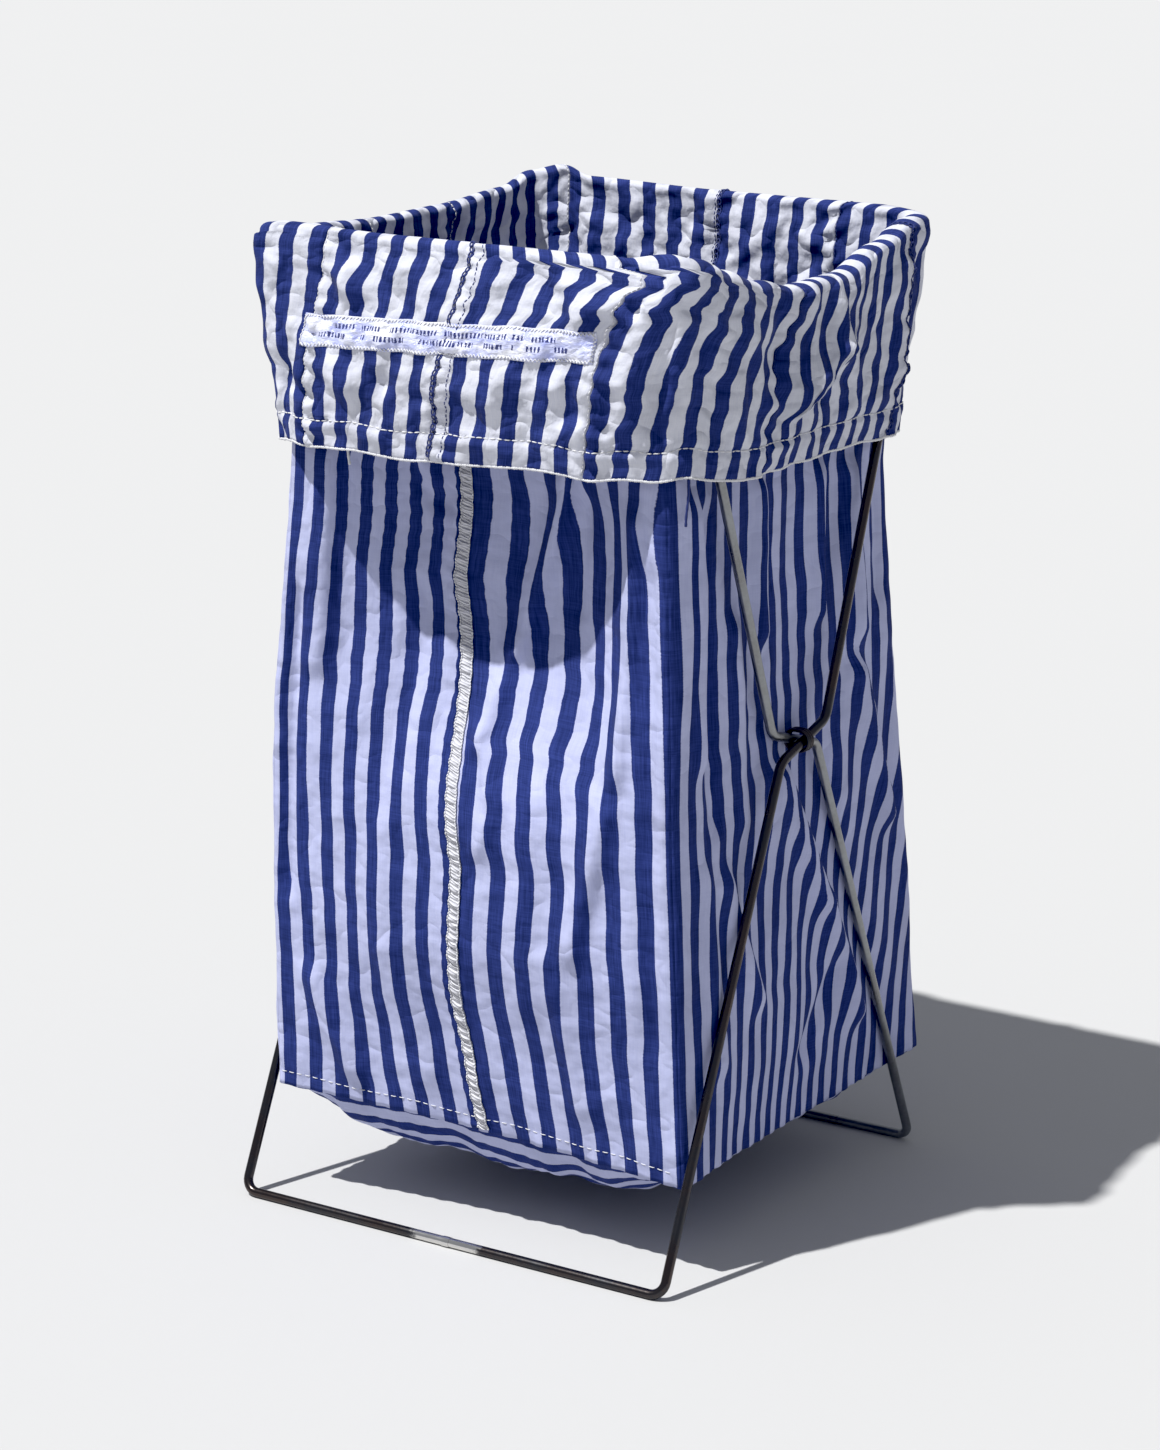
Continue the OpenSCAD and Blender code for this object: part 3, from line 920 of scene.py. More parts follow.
def panel_grid(ring, first, last):
    """Points and cloth places of a stretch of a ring, from one column to another."""
    index = np.arange(first, last + 1) % ring.columns
    points = ring.points[:, index]
    cloth = ring.cloth[:, index].copy()
    if cloth.shape[1] > 2:
        # a shared edge column holds its neighbour's cloth place, so each end follows its own panel
        cloth[:, -1] = 2 * cloth[:, -2] - cloth[:, -3]
        cloth[:, 0] = 2 * cloth[:, 1] - cloth[:, 2]
    height = np.repeat(ring.height[:, None], len(index), axis=1)
    return points, np.stack([cloth, height], axis=-1)


def bottom_grid(ring):
    """The sagging bottom, sewn to the lowest row of the walls."""
    n = BODY_SIDE_COLUMNS
    edge = ring.points[0]
    front, rear = edge[0:n + 1], edge[2 * n:3 * n + 1][::-1]
    right = edge[n:2 * n + 1]
    left = np.concatenate([edge[3 * n:], edge[:1]])[::-1]
    s, t = np.linspace(0, 1, n + 1)[None, :, None], np.linspace(0, 1, n + 1)[:, None, None]
    flat = ((1 - t) * front[None] + t * rear[None] + (1 - s) * left[:, None] + s * right[:, None]
            - ((1 - s) * (1 - t) * front[0] + s * (1 - t) * front[-1]
               + (1 - s) * t * rear[0] + s * t * rear[-1]))
    x, y = flat[..., 0], flat[..., 1]
    width, depth = 288, 310
    near_x = np.minimum(s, 1 - s)[..., 0] * width
    near_y = np.minimum(t, 1 - t)[..., 0] * depth
    fall_x = 1 - (1 - np.clip(np.minimum(s / 60, (1 - s) / 112)[..., 0] * width, 0, 1)) ** 2.0
    fall_y = 1 - (1 - np.clip(near_y / 52, 0, 1)) ** 2.2
    drop = SEAM_Z - BELLY_Z
    sag = drop * fall_x * fall_y
    edge_share = ease(near_y / 9) * ease(near_x / 9)
    wave = 3.0 * ripples(x, y * 1.6, 31, 60) + 1.1 * ripples(x, y, 32, 24)
    gathers = 2.2 * np.sin(2 * math.pi * x / 44 + 2.2 * ripples(x, y, 33, 120))
    gathers = gathers * np.exp(-(near_y / 34) ** 2)
    points = flat.copy()
    points[..., 2] += edge_share * (-sag + wave + gathers)
    # the cloth tucks under a little before it hangs
    points[..., 1] += edge_share * 5 * fall_y * np.where(t[..., 0] < 0.5, 1, -1) * np.exp(-near_y / 30)
    points[..., 2] = np.maximum(points[..., 2], BELLY_Z - 4)
    steps = np.linalg.norm(np.diff(points, axis=0), axis=-1)
    down = np.concatenate([np.zeros((1, n + 1)), np.cumsum(steps, axis=0)])
    cloth = np.stack([down + 3.0 * ripples(x, y, 34, 110), x + 200], axis=-1)
    return points, cloth


# ---- the turned-down cuff ----

BAND_SIDE_COLUMNS = 128
INNER_ROWS, ROLL_ROWS, OUTER_ROWS = 34, 12, 58
RIM_PLACES = (0, 0.06, 0.3, 0.6, 0.88, 0.98, 1.05, 1.15, 1.3, 1.43, 1.62, 1.8, 1.95, 2.1, 2.5, 2.84,
              2.91, 3.0, 3.12, 3.35, 3.6, 3.85, 4)
RIM_HEIGHTS = (609, 611, 609, 609, 609, 613, 610, 600, 589, 582, 583, 595, 606, 610, 610, 612,
               618, 613, 605, 601, 600, 603, 609)
RIM_CORNERS = ((-145, -151), (152, -152), (149.5, 150), (-147, 150))
RIM_ROUNDING = (13, 15, 10, 14)
EDGE_CORNERS = ((-149.5, -151), (152, -152), (151, 150), (-151.5, 149))
EDGE_ROUNDING = (58, 72, 66, 52)
EDGE_PLACES = (0, 0.3, 0.7, 1.0, 1.25, 1.6, 2, 2.5, 3, 3.5, 4)
EDGE_HEIGHTS = (480, 482, 484, 485, 480, 479, 477, 481, 480, 480, 480)
ROLL_HEIGHT = 5.5
LINING_JOIN_ROWS = 12
HEM = 16.5
WIDE_SEAMS = (1, 4, 6)

# Folds of the cuff: place as millimetres round the flap from the front left corner, and height
CUFF_CREASES = (
    ((262, 596), (214, 566), 4.5, 6, 12),
    ((250, 520), (196, 500), 3.6, 9, 14),
    ((205, 560), (232, 505), -2.6, 12, 12),
    ((488, 548), (398, 505), 8.0, 5, 16),
    ((398, 506), (370, 530), 3.5, 6, 9),
    ((300, 604), (318, 500), -4.0, 10, 16),
    ((340, 590), (352, 500), 2.6, 12, 14),
    ((60, 595), (84, 560), 2.4, 8, 10),
    ((90, 540), (70, 510), 3.0, 8, 10),
    ((30, 540), (12, 500), -4.0, 7, 9),
    ((140, 585), (160, 560), 2.4, 7, 10),
    ((120, 530), (150, 508), -2.4, 8, 9),
    ((430, 600), (440, 560), 2.6, 8, 10),
    ((560, 590), (545, 500), 4.0, 8, 14),
    ((330, 610), (290, 585), 3.0, 7, 9),
    ((268, 600), (254, 498), 3.0, 16, 10),
    ((52, 600), (82, 570), 3.4, 5, 8),
    ((98, 600), (136, 574), 3.8, 5, 8),
    ((152, 602), (178, 576), 3.2, 5, 8),
    ((205, 604), (240, 572), 4.0, 6, 9),
    ((58, 542), (84, 506), 3.8, 5, 9),
    ((108, 545), (92, 508), -3.2, 5, 7),
    ((126, 545), (146, 506), 3.6, 5, 8),
    ((186, 548), (168, 502), 3.4, 5, 8),
    ((226, 550), (206, 520), 4.2, 5, 9),
    ((44, 590), (38, 540), -3.0, 5, 7),
    ((282, 590), (276, 505), -3.6, 6, 8),
    ((356, 585), (372, 520), 3.2, 6, 9),
    ((404, 590), (396, 530), -3.0, 7, 9),
    ((462, 590), (470, 540), 3.0, 6, 8),
)
# Tucks that swallow cloth: place and height of both ends, cloth hidden, and how far it is drawn from
CUFF_TUCKS = (
    ((494, 552), (392, 503), 16, 2.2, 26),
    ((262, 520), (206, 500), 5, 3.0, 18),
)
FRONT_TUCKS = (
    ((84, 500), (2, 298), 15, 3.4, 55),
    ((104, 470), (94, 300), 7, 3.4, 40),
    ((-128, 420), (-134, 200), 9, 3.0, 30),
)
RIGHT_TUCKS = (
    ((-116, 500), (-118, 330), 10, 2.6, 18),
    ((-30, 500), (-26, 372), 9, 2.4, 18),
    ((-20, 300), (52, 176), 13, 3.0, 26),
    ((82, 350), (142, 205), 11, 3.0, 24),
    ((38, 500), (50, 366), 8, 2.6, 18),
)


def band_place(rows_share):
    """Places round the sack of the band's columns; columns stay with the leaning seams."""
    columns = 4 * BAND_SIDE_COLUMNS
    seams = np.array([place_of(side, where) for side, where, _, _ in BAND_SEAMS])
    half = np.array([SEEN_HALF[side] for side, *_ in BAND_SEAMS])
    sense = np.array([1 if side in (FRONT, RIGHT) else -1 for side, *_ in BAND_SEAMS])
    top = np.array([seam[2] for seam in BAND_SEAMS]) / (2 * half) * sense
    low = np.array([seam[3] for seam in BAND_SEAMS]) / (2 * half) * sense
    knots = np.concatenate([[seams[-1] - 4], seams, [seams[0] + 4]])
    base = np.arange(columns) / BAND_SIDE_COLUMNS
    # columns are moved so that one of them lies on each seam
    marks = np.round(seams * BAND_SIDE_COLUMNS) / BAND_SIDE_COLUMNS
    mark_knots = np.concatenate([[marks[-1] - 4], marks, [marks[0] + 4]])
    base = np.interp(base, mark_knots, knots)
    rows = []
    for share in rows_share:
        shift = top * max(0, 1 - 2 * share) + low * max(0, 2 * share - 1)
        shifts = np.concatenate([[shift[-1]], shift, [shift[0]]])
        rows.append(base + np.interp(base, knots, shifts))
    return np.stack(rows), np.round(seams * BAND_SIDE_COLUMNS).astype(int)


def band_ring(body):
    """The pieced band: up the inside, over the bars and down again as the cuff."""
    rows = INNER_ROWS + ROLL_ROWS + OUTER_ROWS
    inner = np.linspace(0, 1, INNER_ROWS, endpoint=False)
    roll = np.linspace(0, 1, ROLL_ROWS)
    outer = np.linspace(0, 1, OUTER_ROWS + 1)[1:]
    lean = np.concatenate([1 - inner, np.zeros(ROLL_ROWS), outer])
    inside = np.concatenate([np.ones(INNER_ROWS), 1 - roll, np.zeros(OUTER_ROWS)])
    lean = np.where(inside > 0.5, lean * 0.6, lean)
    place, marks = band_place(lean)
    place = place % 4
    rim = between(place, RIM_PLACES, RIM_HEIGHTS)
    low_edge = between(place, EDGE_PLACES, EDGE_HEIGHTS) + 1.2 * ripples(place * 290, place, 41, 60)

    def outline(corners, rounding):
        return around(np.repeat(np.array(corners, float)[None], rows, 0),
                      np.repeat(np.array(rounding, float)[None], rows, 0), place)

    wall = [(x * (WALL_X - 1.2), y * (WALL_Y - 1.2)) for x, y in CORNER_SIGNS]
    foot = [(x * (WALL_X - 2.5), y * (WALL_Y - 2.5)) for x, y in CORNER_SIGNS]
    inner_top = outline(wall, (9, 9, 9, 9))
    inner_low = outline(foot, (26, 26, 30, 28))
    rim_line = outline(RIM_CORNERS, RIM_ROUNDING)
    edge_line = outline(EDGE_CORNERS, EDGE_ROUNDING)

    z = np.zeros_like(place)
    plan = np.zeros((*place.shape, 2))
    for r in range(rows):
        if r < INNER_ROWS:
            s = inner[r]
            z[r] = BAND_LOW_Z + (rim[r] - ROLL_HEIGHT - BAND_LOW_Z) * s
            plan[r] = inner_low[r] + (inner_top[r] - inner_low[r]) * ease(s)
        elif r < INNER_ROWS + ROLL_ROWS:
            angle = math.pi * roll[r - INNER_ROWS]
            z[r] = rim[r] - ROLL_HEIGHT + ROLL_HEIGHT * math.sin(angle) ** 0.8
            plan[r] = inner_top[r] + (rim_line[r] - inner_top[r]) * (1 - math.cos(angle)) / 2
        else:
            s = outer[r - INNER_ROWS - ROLL_ROWS]
            z[r] = rim[r] - ROLL_HEIGHT + (low_edge[r] - rim[r] + ROLL_HEIGHT) * s
            plan[r] = rim_line[r] + (edge_line[r] - rim_line[r]) * ease(s * 0.9)

    side = np.floor(place).astype(int)
    t = place - side
    out = outward(plan)
    run = row_lengths(np.concatenate([rim_line, z[..., None]], axis=-1))[:, :-1]
    share_down = np.clip((rim - z) / (rim - low_edge), 0, 1)
    is_outer = (inside < 0.5)[:, None]
    # the inner layer hangs with the hollow walls of the body below it
    hollow = np.select([side == FRONT, side == RIGHT, side == REAR, side == LEFT], [-42, -7, -10, -7])
    push = np.where(is_outer, 0, hollow * np.sin(math.pi * t) ** 1.2 * ease((rim - z - 6) / 105))
    fullness = 2.4 * ripples(run, z * 0.8, 42, 90) + 2.1 * ripples(run, z * 1.15, 43, 38)
    fullness += 0.75 * ripples(run, z * 1.3, 44, 16) + 0.3 * ripples(run, z, 47, 8)
    fullness += 1.3 * loose_folds(run, z, 45, 26, (500, 600))
    push += fullness * ease((rim - z) / 14) * np.where(is_outer, 1, 1.25)
    front = np.where(side == FRONT, ease(t * 5) * ease((1 - t) * 5), 0)
    belly = between(share_down, (0, 0.3, 0.52, 0.85, 1), (0, 3, 7.5, 3, 0))
    push += np.where(is_outer, 1.5 * np.sin(math.pi * share_down) + front * belly, 0)
    for start, end, height, above, below in CUFF_CREASES:
        fold = crease(run, z, start, end, FOLD_DEPTH * height, above, below)
        push += np.where(is_outer, fold, 0)
    push += seam_puckers(place, z, marks)
    # the hem is two layers, so its stitch line sits in a shallow groove
    above_edge = z - low_edge
    push += np.where(is_outer, 0.8 * ease((HEM - above_edge) / 2.5)
                     - 1.1 * np.exp(-((above_edge - HEM) / 1.6) ** 2), 0)
    push += np.where(is_outer, 0.55 * np.sin(2 * math.pi * run / 9 + 2 * ripples(run, z, 46, 70))
                     * np.exp(-((above_edge - HEM) / 7) ** 2), 0)
    flare = np.where(side == FRONT, 5 * np.exp(-((t - 0.42) / 0.3) ** 4), 0)
    push += np.where(is_outer, flare * ease(share_down * 1.1) ** 2, 0)
    push = np.where(is_outer & (side == LEFT), np.minimum(push, 0.6), push)
    plan = plan + out * push[..., None]
    points = np.concatenate([plan, z[..., None]], axis=-1)
    # the lining's lowest rows are sewn to the top of the body
    for r in range(LINING_JOIN_ROWS):
        joined_on = [np.interp(place[r], body.place[-1], body.points[-1, :, k], period=4)
                     for k in (0, 1)]
        share = 1 - ease(r / LINING_JOIN_ROWS)
        inward = np.stack(joined_on, axis=1) - out[r] * 0.9
        points[r, :, :2] += (inward - points[r, :, :2]) * share
        points[r, :, 2] -= 5 * share
    above = (np.arange(rows) >= INNER_ROWS) & (np.arange(rows) < INNER_ROWS + ROLL_ROWS)
    rolled = clear_of_bars(points, is_outer)
    points = np.where(above[:, None, None], points, rolled)
    points = np.where(above[:, None, None], points, clear_of_legs(points, is_outer))

    stops, cloth_stops = [], []
    for i, first in enumerate(marks):
        last = marks[(i + 1) % len(marks)]
        stops.append((first, last if last > first else last + 4 * BAND_SIDE_COLUMNS))
        cloth_stops.append((BAND_STARTS[i], BAND_WIDTHS[i]))
    ring = BandRing(points, place, stops, cloth_stops, rim, low_edge)
    for start, end, hidden, near, far in CUFF_TUCKS:
        ring.drawn += np.where(is_outer, tuck(run, z, start, end, hidden, near, far, 16), 0)
    return ring


# Where each band piece starts in the stripe repeat, in millimetres from the middle of a blue
# stripe, and its width of cloth
BAND_STARTS = (4.75, 3.75, -4.75, -4.75, -4.75, 4.75, 3.75, 4.75, -4.75, -4.75)
BAND_WIDTHS = (104.5, 105.5, 133, 171, 85.5, 95, 115, 133, 95, 142.5)


class BandRing(Ring):
    """The pieced band, whose pieces are each cut with their own start in the stripes."""

    def __init__(self, points, place, stops, cloth_stops, rim, low_edge):
        self.points, self.place, self.columns = points, place, points.shape[1]
        self.stops, self.cloth_stops = stops, cloth_stops
        self.rim, self.low_edge = rim, low_edge
        self.drawn = np.zeros(points.shape[:2])
        steps = np.linalg.norm(np.roll(points, -1, axis=1) - points, axis=-1)
        self.steps = np.concatenate([steps, steps], axis=1)
        rise = np.linalg.norm(np.diff(points, axis=0), axis=-1).mean(axis=1)
        self.height = np.concatenate([[0], np.cumsum(rise)])

    def normal(self):
        """Out of the seen side: the lining's inner face and the cuff's outer face."""
        return -super().normal()

    def piece(self, i):
        first, last = self.stops[i]
        start, width = self.cloth_stops[i]
        gone = np.concatenate([np.zeros((len(self.points), 1)),
                               np.cumsum(self.steps[:, first:last], axis=1)], axis=1)
        cloth = start + width * gone / gone[:, [-1]]
        index = np.arange(first, last + 1) % self.columns
        inside = np.minimum(np.arange(len(index)), np.arange(len(index))[::-1])
        cloth = cloth + self.drawn[:, index] * ease(inside / 5)
        height = np.repeat(self.height[:, None], len(index), axis=1)
        return self.points[:, index], np.stack([cloth, height], axis=-1)


def seam_puckers(place, z, marks):
    """Gathers that the stitching draws up beside each seam of the band."""
    push = np.zeros_like(z)
    for i, mark in enumerate(marks):
        centre = place[:, [mark % place.shape[1]]]
        beside = ((place - centre + 2) % 4 - 2) * 290
        swing = np.sin(2 * math.pi * z / 11.5 + 1.8 * ripples(z, z * 0 + i, 50 + i, 55) + beside * 0.2)
        if i in WIDE_SEAMS:
            band = np.exp(-((beside - 5) / 5.5) ** 4)
            push += 0.9 * np.sin(2 * math.pi * z / 8.2 + ripples(z, z * 0, 60 + i, 40)) * band
            push += 0.7 * swing * np.exp(-(np.abs(beside) / 12) ** 1.5)
            push += 0.7 * band
        else:
            push += 1.5 * swing * np.exp(-(np.abs(beside - 4) / 8) ** 1.6)
            push -= 1.0 * np.exp(-(beside / 1.4) ** 2)
    return push


def clear_of_bars(points, is_outer, gap=0.6):
    """Keeps the lining inside the top bars, the cuff outside them and its rim above them."""
    kept = points.copy()
    x, y, z = points[..., 0], points[..., 1], points[..., 2]
    bar = -span("front_top_frame", 1)[0]
    top = span("front_top_frame", 2)[1]
    near = ease((z - top + 24) / 10) * ease((FLAP_X - 12 - np.abs(x)) / 6)
    size = np.abs(y)
    out = np.clip(bar + gap - size, 0, 6) * near * (size > bar - 9)
    into = np.clip(size - (bar - 2 * WIRE_R - gap), 0, 9) * near
    kept[..., 1] = np.sign(y) * (size + np.where(is_outer, out, -into))
    return kept


# ---- stitching, seams and the label ----

class Skin:
    """The outer face of the cuff's front, where the label lies."""

    def __init__(self, points):
        rows, columns = points.shape[:2]
        faces = grid_faces(rows, columns).tolist()
        self.tree = BVHTree.FromPolygons(points.reshape(-1, 3).tolist(), faces)

    def at(self, x, z):
        """Points and outward normals of the cloth at places seen squarely from the front."""
        spots = np.zeros((*np.shape(x), 3))
        normals = np.zeros_like(spots)
        for index in np.ndindex(np.shape(x)):
            start = Vector((x[index], -2 * FLAP_Y, z[index]))
            spot, normal, _, _ = self.tree.ray_cast(start, Vector((0, 1, 0)))
            if spot is None:
                raise RuntimeError("the label reaches past the front of the cuff")
            spots[index] = spot
            normals[index] = normal if normal.y < 0 else -normal
        return spots, normals


def chain_row(points, normals, pitch, width, radius):
    """A chain of small thread loops along evenly sampled points."""
    run = np.concatenate([[0], np.cumsum(np.linalg.norm(np.diff(points, axis=0), axis=1))])
    parts = []
    turn = np.arange(10) * 2 * math.pi / 10
    for middle in np.arange(pitch, run[-1] - pitch, pitch):
        spot = np.array([np.interp(middle, run, points[:, k]) for k in range(3)])
        ahead = np.array([np.interp(middle + 1, run, points[:, k]) for k in range(3)])
        face = unit(np.array([np.interp(middle, run, normals[:, k]) for k in range(3)]))
        along = unit(ahead - spot)
        across = np.cross(face, along)
        loop = (spot + face * radius * (0.5 + 0.5 * np.cos(turn)[:, None] * 0.8)
                + along * np.cos(turn)[:, None] * pitch * 0.62
                + across * np.sin(turn)[:, None] * width / 2)
        parts.append(rope_parts(loop, radius, 5, closed=True, facing=face))
    return parts


def thread_piece(name, parts, slot):
    piece = joined(name, parts)
    piece.data.materials.append(finish(slot))
    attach(piece, "sack")
    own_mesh(piece)
    return piece


LAYER = 0.4
SEAM_STITCH, SEAM_GAP, SEAM_THREAD = 3.0, 0.8, 0.32
HEM_STITCH, HEM_GAP, HEM_THREAD = 4.6, 0.8, 0.42
CHAIN_PITCH, CHAIN_WIDTH, CHAIN_THREAD = 3.3, 3.0, 0.45
# Lines of stitching beside each seam of the band: distance in millimetres and kind
SEAM_LINES = (
    ((0.9, "white"),), ((0.2, "chain"), (8.5, "navy")), ((-1.0, "white"),), ((1.0, "navy"),),
    ((0.5, "chain"),), ((-0.8, "navy"),), ((0.3, "chain"), (3.4, "navy")), ((0.8, "white"),),
    ((0.8, "white"),), ((-0.8, "white"),),
)


def stitching_of_band(ring, marks):
    """The hem's topstitching, the overcast lower edge and the stitching of every seam."""
    columns = np.arange(ring.columns + 1)
    first = INNER_ROWS + ROLL_ROWS
    above = ring.points[first:, :, 2] - ring.low_edge[first:]
    hem = np.array([np.interp(-HEM, -above[:, c], np.arange(len(above))) for c in range(ring.columns)])
    hem = np.append(hem, hem[0]) + first
    fine = np.linspace(0, ring.columns, 4 * ring.columns + 1)
    hem = np.interp(fine, columns, hem) + 0.12 * np.sin(fine * 0.31) + 0.1 * np.sin(fine * 0.83)
    spots, faces = line_on(ring, fine, hem, HEM_STITCH, HEM_GAP, LAYER)
    thread_piece("cuff_hem_stitches", stitch_row(spots, faces, HEM_THREAD), "thread_white")

    edge = ring.at(ring.points, fine, np.full(len(fine), len(ring.points) - 1.0))[:-1]
    bumps = 0.8 + 0.22 * np.sin(np.arange(len(edge)) * 2.4) + 0.1 * np.sin(np.arange(len(edge)) * 0.9)
    thread_piece("cuff_edge_overcasting", [rope_parts(edge, bumps, 8, closed=True)], "thread_white")

    parts = {"white": [], "navy": [], "chain": []}
    rows = np.linspace(3, len(ring.points) - 1.2, 360)
    for mark, lines in zip(marks, SEAM_LINES):
        spacing = np.linalg.norm(ring.points[:, (mark + 1) % ring.columns] - ring.points[:, mark], axis=1)
        step = np.interp(rows, np.arange(len(spacing)), spacing)
        for distance, kind in lines:
            line = mark + distance / step
            if kind == "chain":
                faces = unit(ring.at(ring.normal(), line, rows))
                parts[kind] += chain_row(ring.at(ring.points, line, rows) + faces * LAYER, faces,
                                         CHAIN_PITCH, CHAIN_WIDTH, CHAIN_THREAD)
            else:
                spots, faces = line_on(ring, line, rows, SEAM_STITCH, SEAM_GAP, LAYER)
                parts[kind] += stitch_row(spots, faces, SEAM_THREAD)
    thread_piece("cuff_seam_stitches_white", parts["white"], "thread_white")
    thread_piece("cuff_seam_stitches_navy", parts["navy"] + parts["chain"], "thread_dark")


def serged_strip(name, node, ring, column, sense):
    """The overcast seam allowance pressed flat beside a seam of the body."""
    width, across = 7.6, 13
    long = np.linspace(0.6, len(ring.points) - 1.1, 900)
    wide = np.linspace(0, 1, across)
    spacing = np.linalg.norm(ring.points[:, (column + sense) % ring.columns]
                             - ring.points[:, column % ring.columns], axis=1)
    step = np.interp(long, np.arange(len(spacing)), spacing)
    line = column + sense * wide[None, :] * width / step[:, None]
    rows = np.repeat(long[:, None], across, axis=1)
    spots = ring.at(ring.points, line, rows)
    faces = unit(ring.at(ring.normal(), line, rows))
    down = np.interp(long, np.arange(len(ring.height)), ring.height)[:, None]
    ladder = np.sin(2 * math.pi * (down + wide * 1.4) / 4.4 + 1.4 * ripples(down, down * 0, 71, 30))
    inside = ease(wide * 3) * ease((1 - wide) * 4)
    lift = 0.5 + 1.0 * np.sin(math.pi * wide) ** 0.6 + 0.62 * ladder * inside
    lift += 0.2 * ripples(down, wide * 9, 72, 7)
    points = spots + faces * lift[..., None]
    places = np.stack([np.broadcast_to(wide * width, rows.shape),
                       np.broadcast_to(down, rows.shape)], axis=-1)
    if sense < 0:
        points, places = points[:, ::-1], places[:, ::-1]
    piece = cloth_shell(name, points, places, 0.35)
    settle(piece, "serging", node, flat=(0.010, (BAND_LOW_Z - SEAM_Z) * MM), held="laid",
           rests_on=["body_front_right_panel_cloth"])
    borders = []
    for share in (0.02, 0.97):
        edge_line = column + sense * share * width / step
        ends, normals = line_on(ring, edge_line, long, 2.1, 0.25, 0.9)
        borders += stitch_row(ends, normals, 0.42)
    thread_piece(name + "_thread", borders, "thread_white")


LABEL_RISE = span("woven_label", 2)[1] - span("woven_label", 2)[0]
LABEL_SLOPE = 0.040


def label_piece(skin):
    """The woven label, puckered between its zigzag stitches."""
    left, right = span("woven_label", 0)
    low, high = span("woven_label", 2)
    across, up = np.meshgrid(np.linspace(0, 1, 181), np.linspace(0, 1, 25))
    width = right - left
    x = left + width * across + 1.2 * (up - 0.5)
    middle = (low + high) / 2
    tall = 18.5
    z = middle + (up - 0.5) * tall + (across - 0.5) * width * LABEL_SLOPE
    z = z + 0.35 * ripples(x, x * 0, 81, 22)
    spots, faces = skin.at(x, z)
    near = np.minimum(np.minimum(up, 1 - up) * tall, np.minimum(across, 1 - across) * width)
    puff = ease(near / 4.5)
    crumple = 1.15 * ripples(x, z * 0.6, 82, 13) + 0.7 * ripples(x * 1.3, z * 0.5, 83, 6)
    pucker = 0.55 * np.sin(2 * math.pi * x / 4.7 + 1.5 * ripples(x, z * 0, 84, 19))
    pucker = pucker * np.exp(-near / 2.2)
    lift = 0.75 + puff * (0.95 + crumple) + pucker * (1 - np.exp(-near / 0.8))
    points = spots + unit(faces) * np.maximum(lift, 0.45)[..., None]
    places = np.stack([across * width, up * tall], axis=-1)
    piece = cloth_shell("woven_label_cloth", points, places, 0.3)
    settle(piece, "label", "woven_label", flat=(width * MM, LABEL_RISE * MM), held="laid",
           rests_on=["band_front_1_cloth", "band_front_2_cloth"])

    border = []
    inset, pitch, swing = 1.1, 2.3, 0.85
    corners = ((inset, inset), (width - inset, inset), (width - inset, tall - inset),
               (inset, tall - inset))
    for (u0, v0), (u1, v1) in zip(corners, corners[1:] + corners[:1]):
        length = math.hypot(u1 - u0, v1 - v0)
        count = int(length / pitch) * 2
        for k in range(count):
            share, side = k / count, swing if k % 2 else -swing
            border.append((u0 + (u1 - u0) * share - (v1 - v0) / length * side,
                           v0 + (v1 - v0) * share + (u1 - u0) / length * side))
    border = np.array(border)
    u = np.clip(border[:, 0] / width, 0, 1) * (points.shape[1] - 1)
    v = np.clip(border[:, 1] / tall, 0, 1) * (points.shape[0] - 1)
    c = np.floor(np.minimum(u, points.shape[1] - 1.01)).astype(int)
    r = np.floor(np.minimum(v, points.shape[0] - 1.01)).astype(int)
    s, t = (u - c)[:, None], (v - r)[:, None]
    path = ((points[r, c] * (1 - s) + points[r, c + 1] * s) * (1 - t)
            + (points[r + 1, c] * (1 - s) + points[r + 1, c + 1] * s) * t)
    path = path + np.array((0, -0.3, 0))
    thread_piece("label_zigzag_stitches", [rope_parts(path, 0.4, 6, closed=True)], "thread_white")


# Thread ends left at the cuff's lower edge: their bends in X, Y and Z, from the cuff down
TAIL_BENDS = {
    "thread_tail_right": ((0, 0, 1), (0.1, -0.2, 0.82), (0.45, -0.85, 0.65), (0.6, -1.4, 0.48),
                          (0.3, -1.9, 0.31), (-0.2, -2.0, 0.14), (-0.4, -1.7, 0)),
    "thread_tail_left": ((0, 0, 1), (-0.2, -0.1, 0.75), (-0.6, -0.4, 0.53), (-0.4, -0.6, 0.34),
                         (0.2, -0.6, 0.16), (1.0, -0.4, 0)),
}


def tail_path(node):
    """A smooth line through a tail's bends, within the tail of the frame."""
    low, high = (np.array(corner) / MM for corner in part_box(node))
    bends = np.array(TAIL_BENDS[node])
    radius = 0.8
    rise = high[2] - low[2] - 2 * radius
    start = np.array((high[0] if node.endswith("left") else low[0], high[1], low[2] + radius))
    points = np.stack([start[0] + bends[:, 0], start[1] - radius + bends[:, 1],
                       start[2] + rise * bends[:, 2]], axis=1)
    knots = np.arange(len(points))
    fine = np.linspace(0, len(points) - 1, 25)
    ghost = np.concatenate([[2 * points[0] - points[1]], points, [2 * points[-1] - points[-2]]])
    i = np.minimum(fine.astype(int), knots[-2])
    t = (fine - i)[:, None]
    a, b, c, d = ghost[i], ghost[i + 1], ghost[i + 2], ghost[i + 3]
    return 0.5 * (2 * b + (c - a) * t + (2 * a - 5 * b + 4 * c - d) * t ** 2
                  + (3 * b - 3 * c + d - a) * t ** 3)


# ---- pieces ----

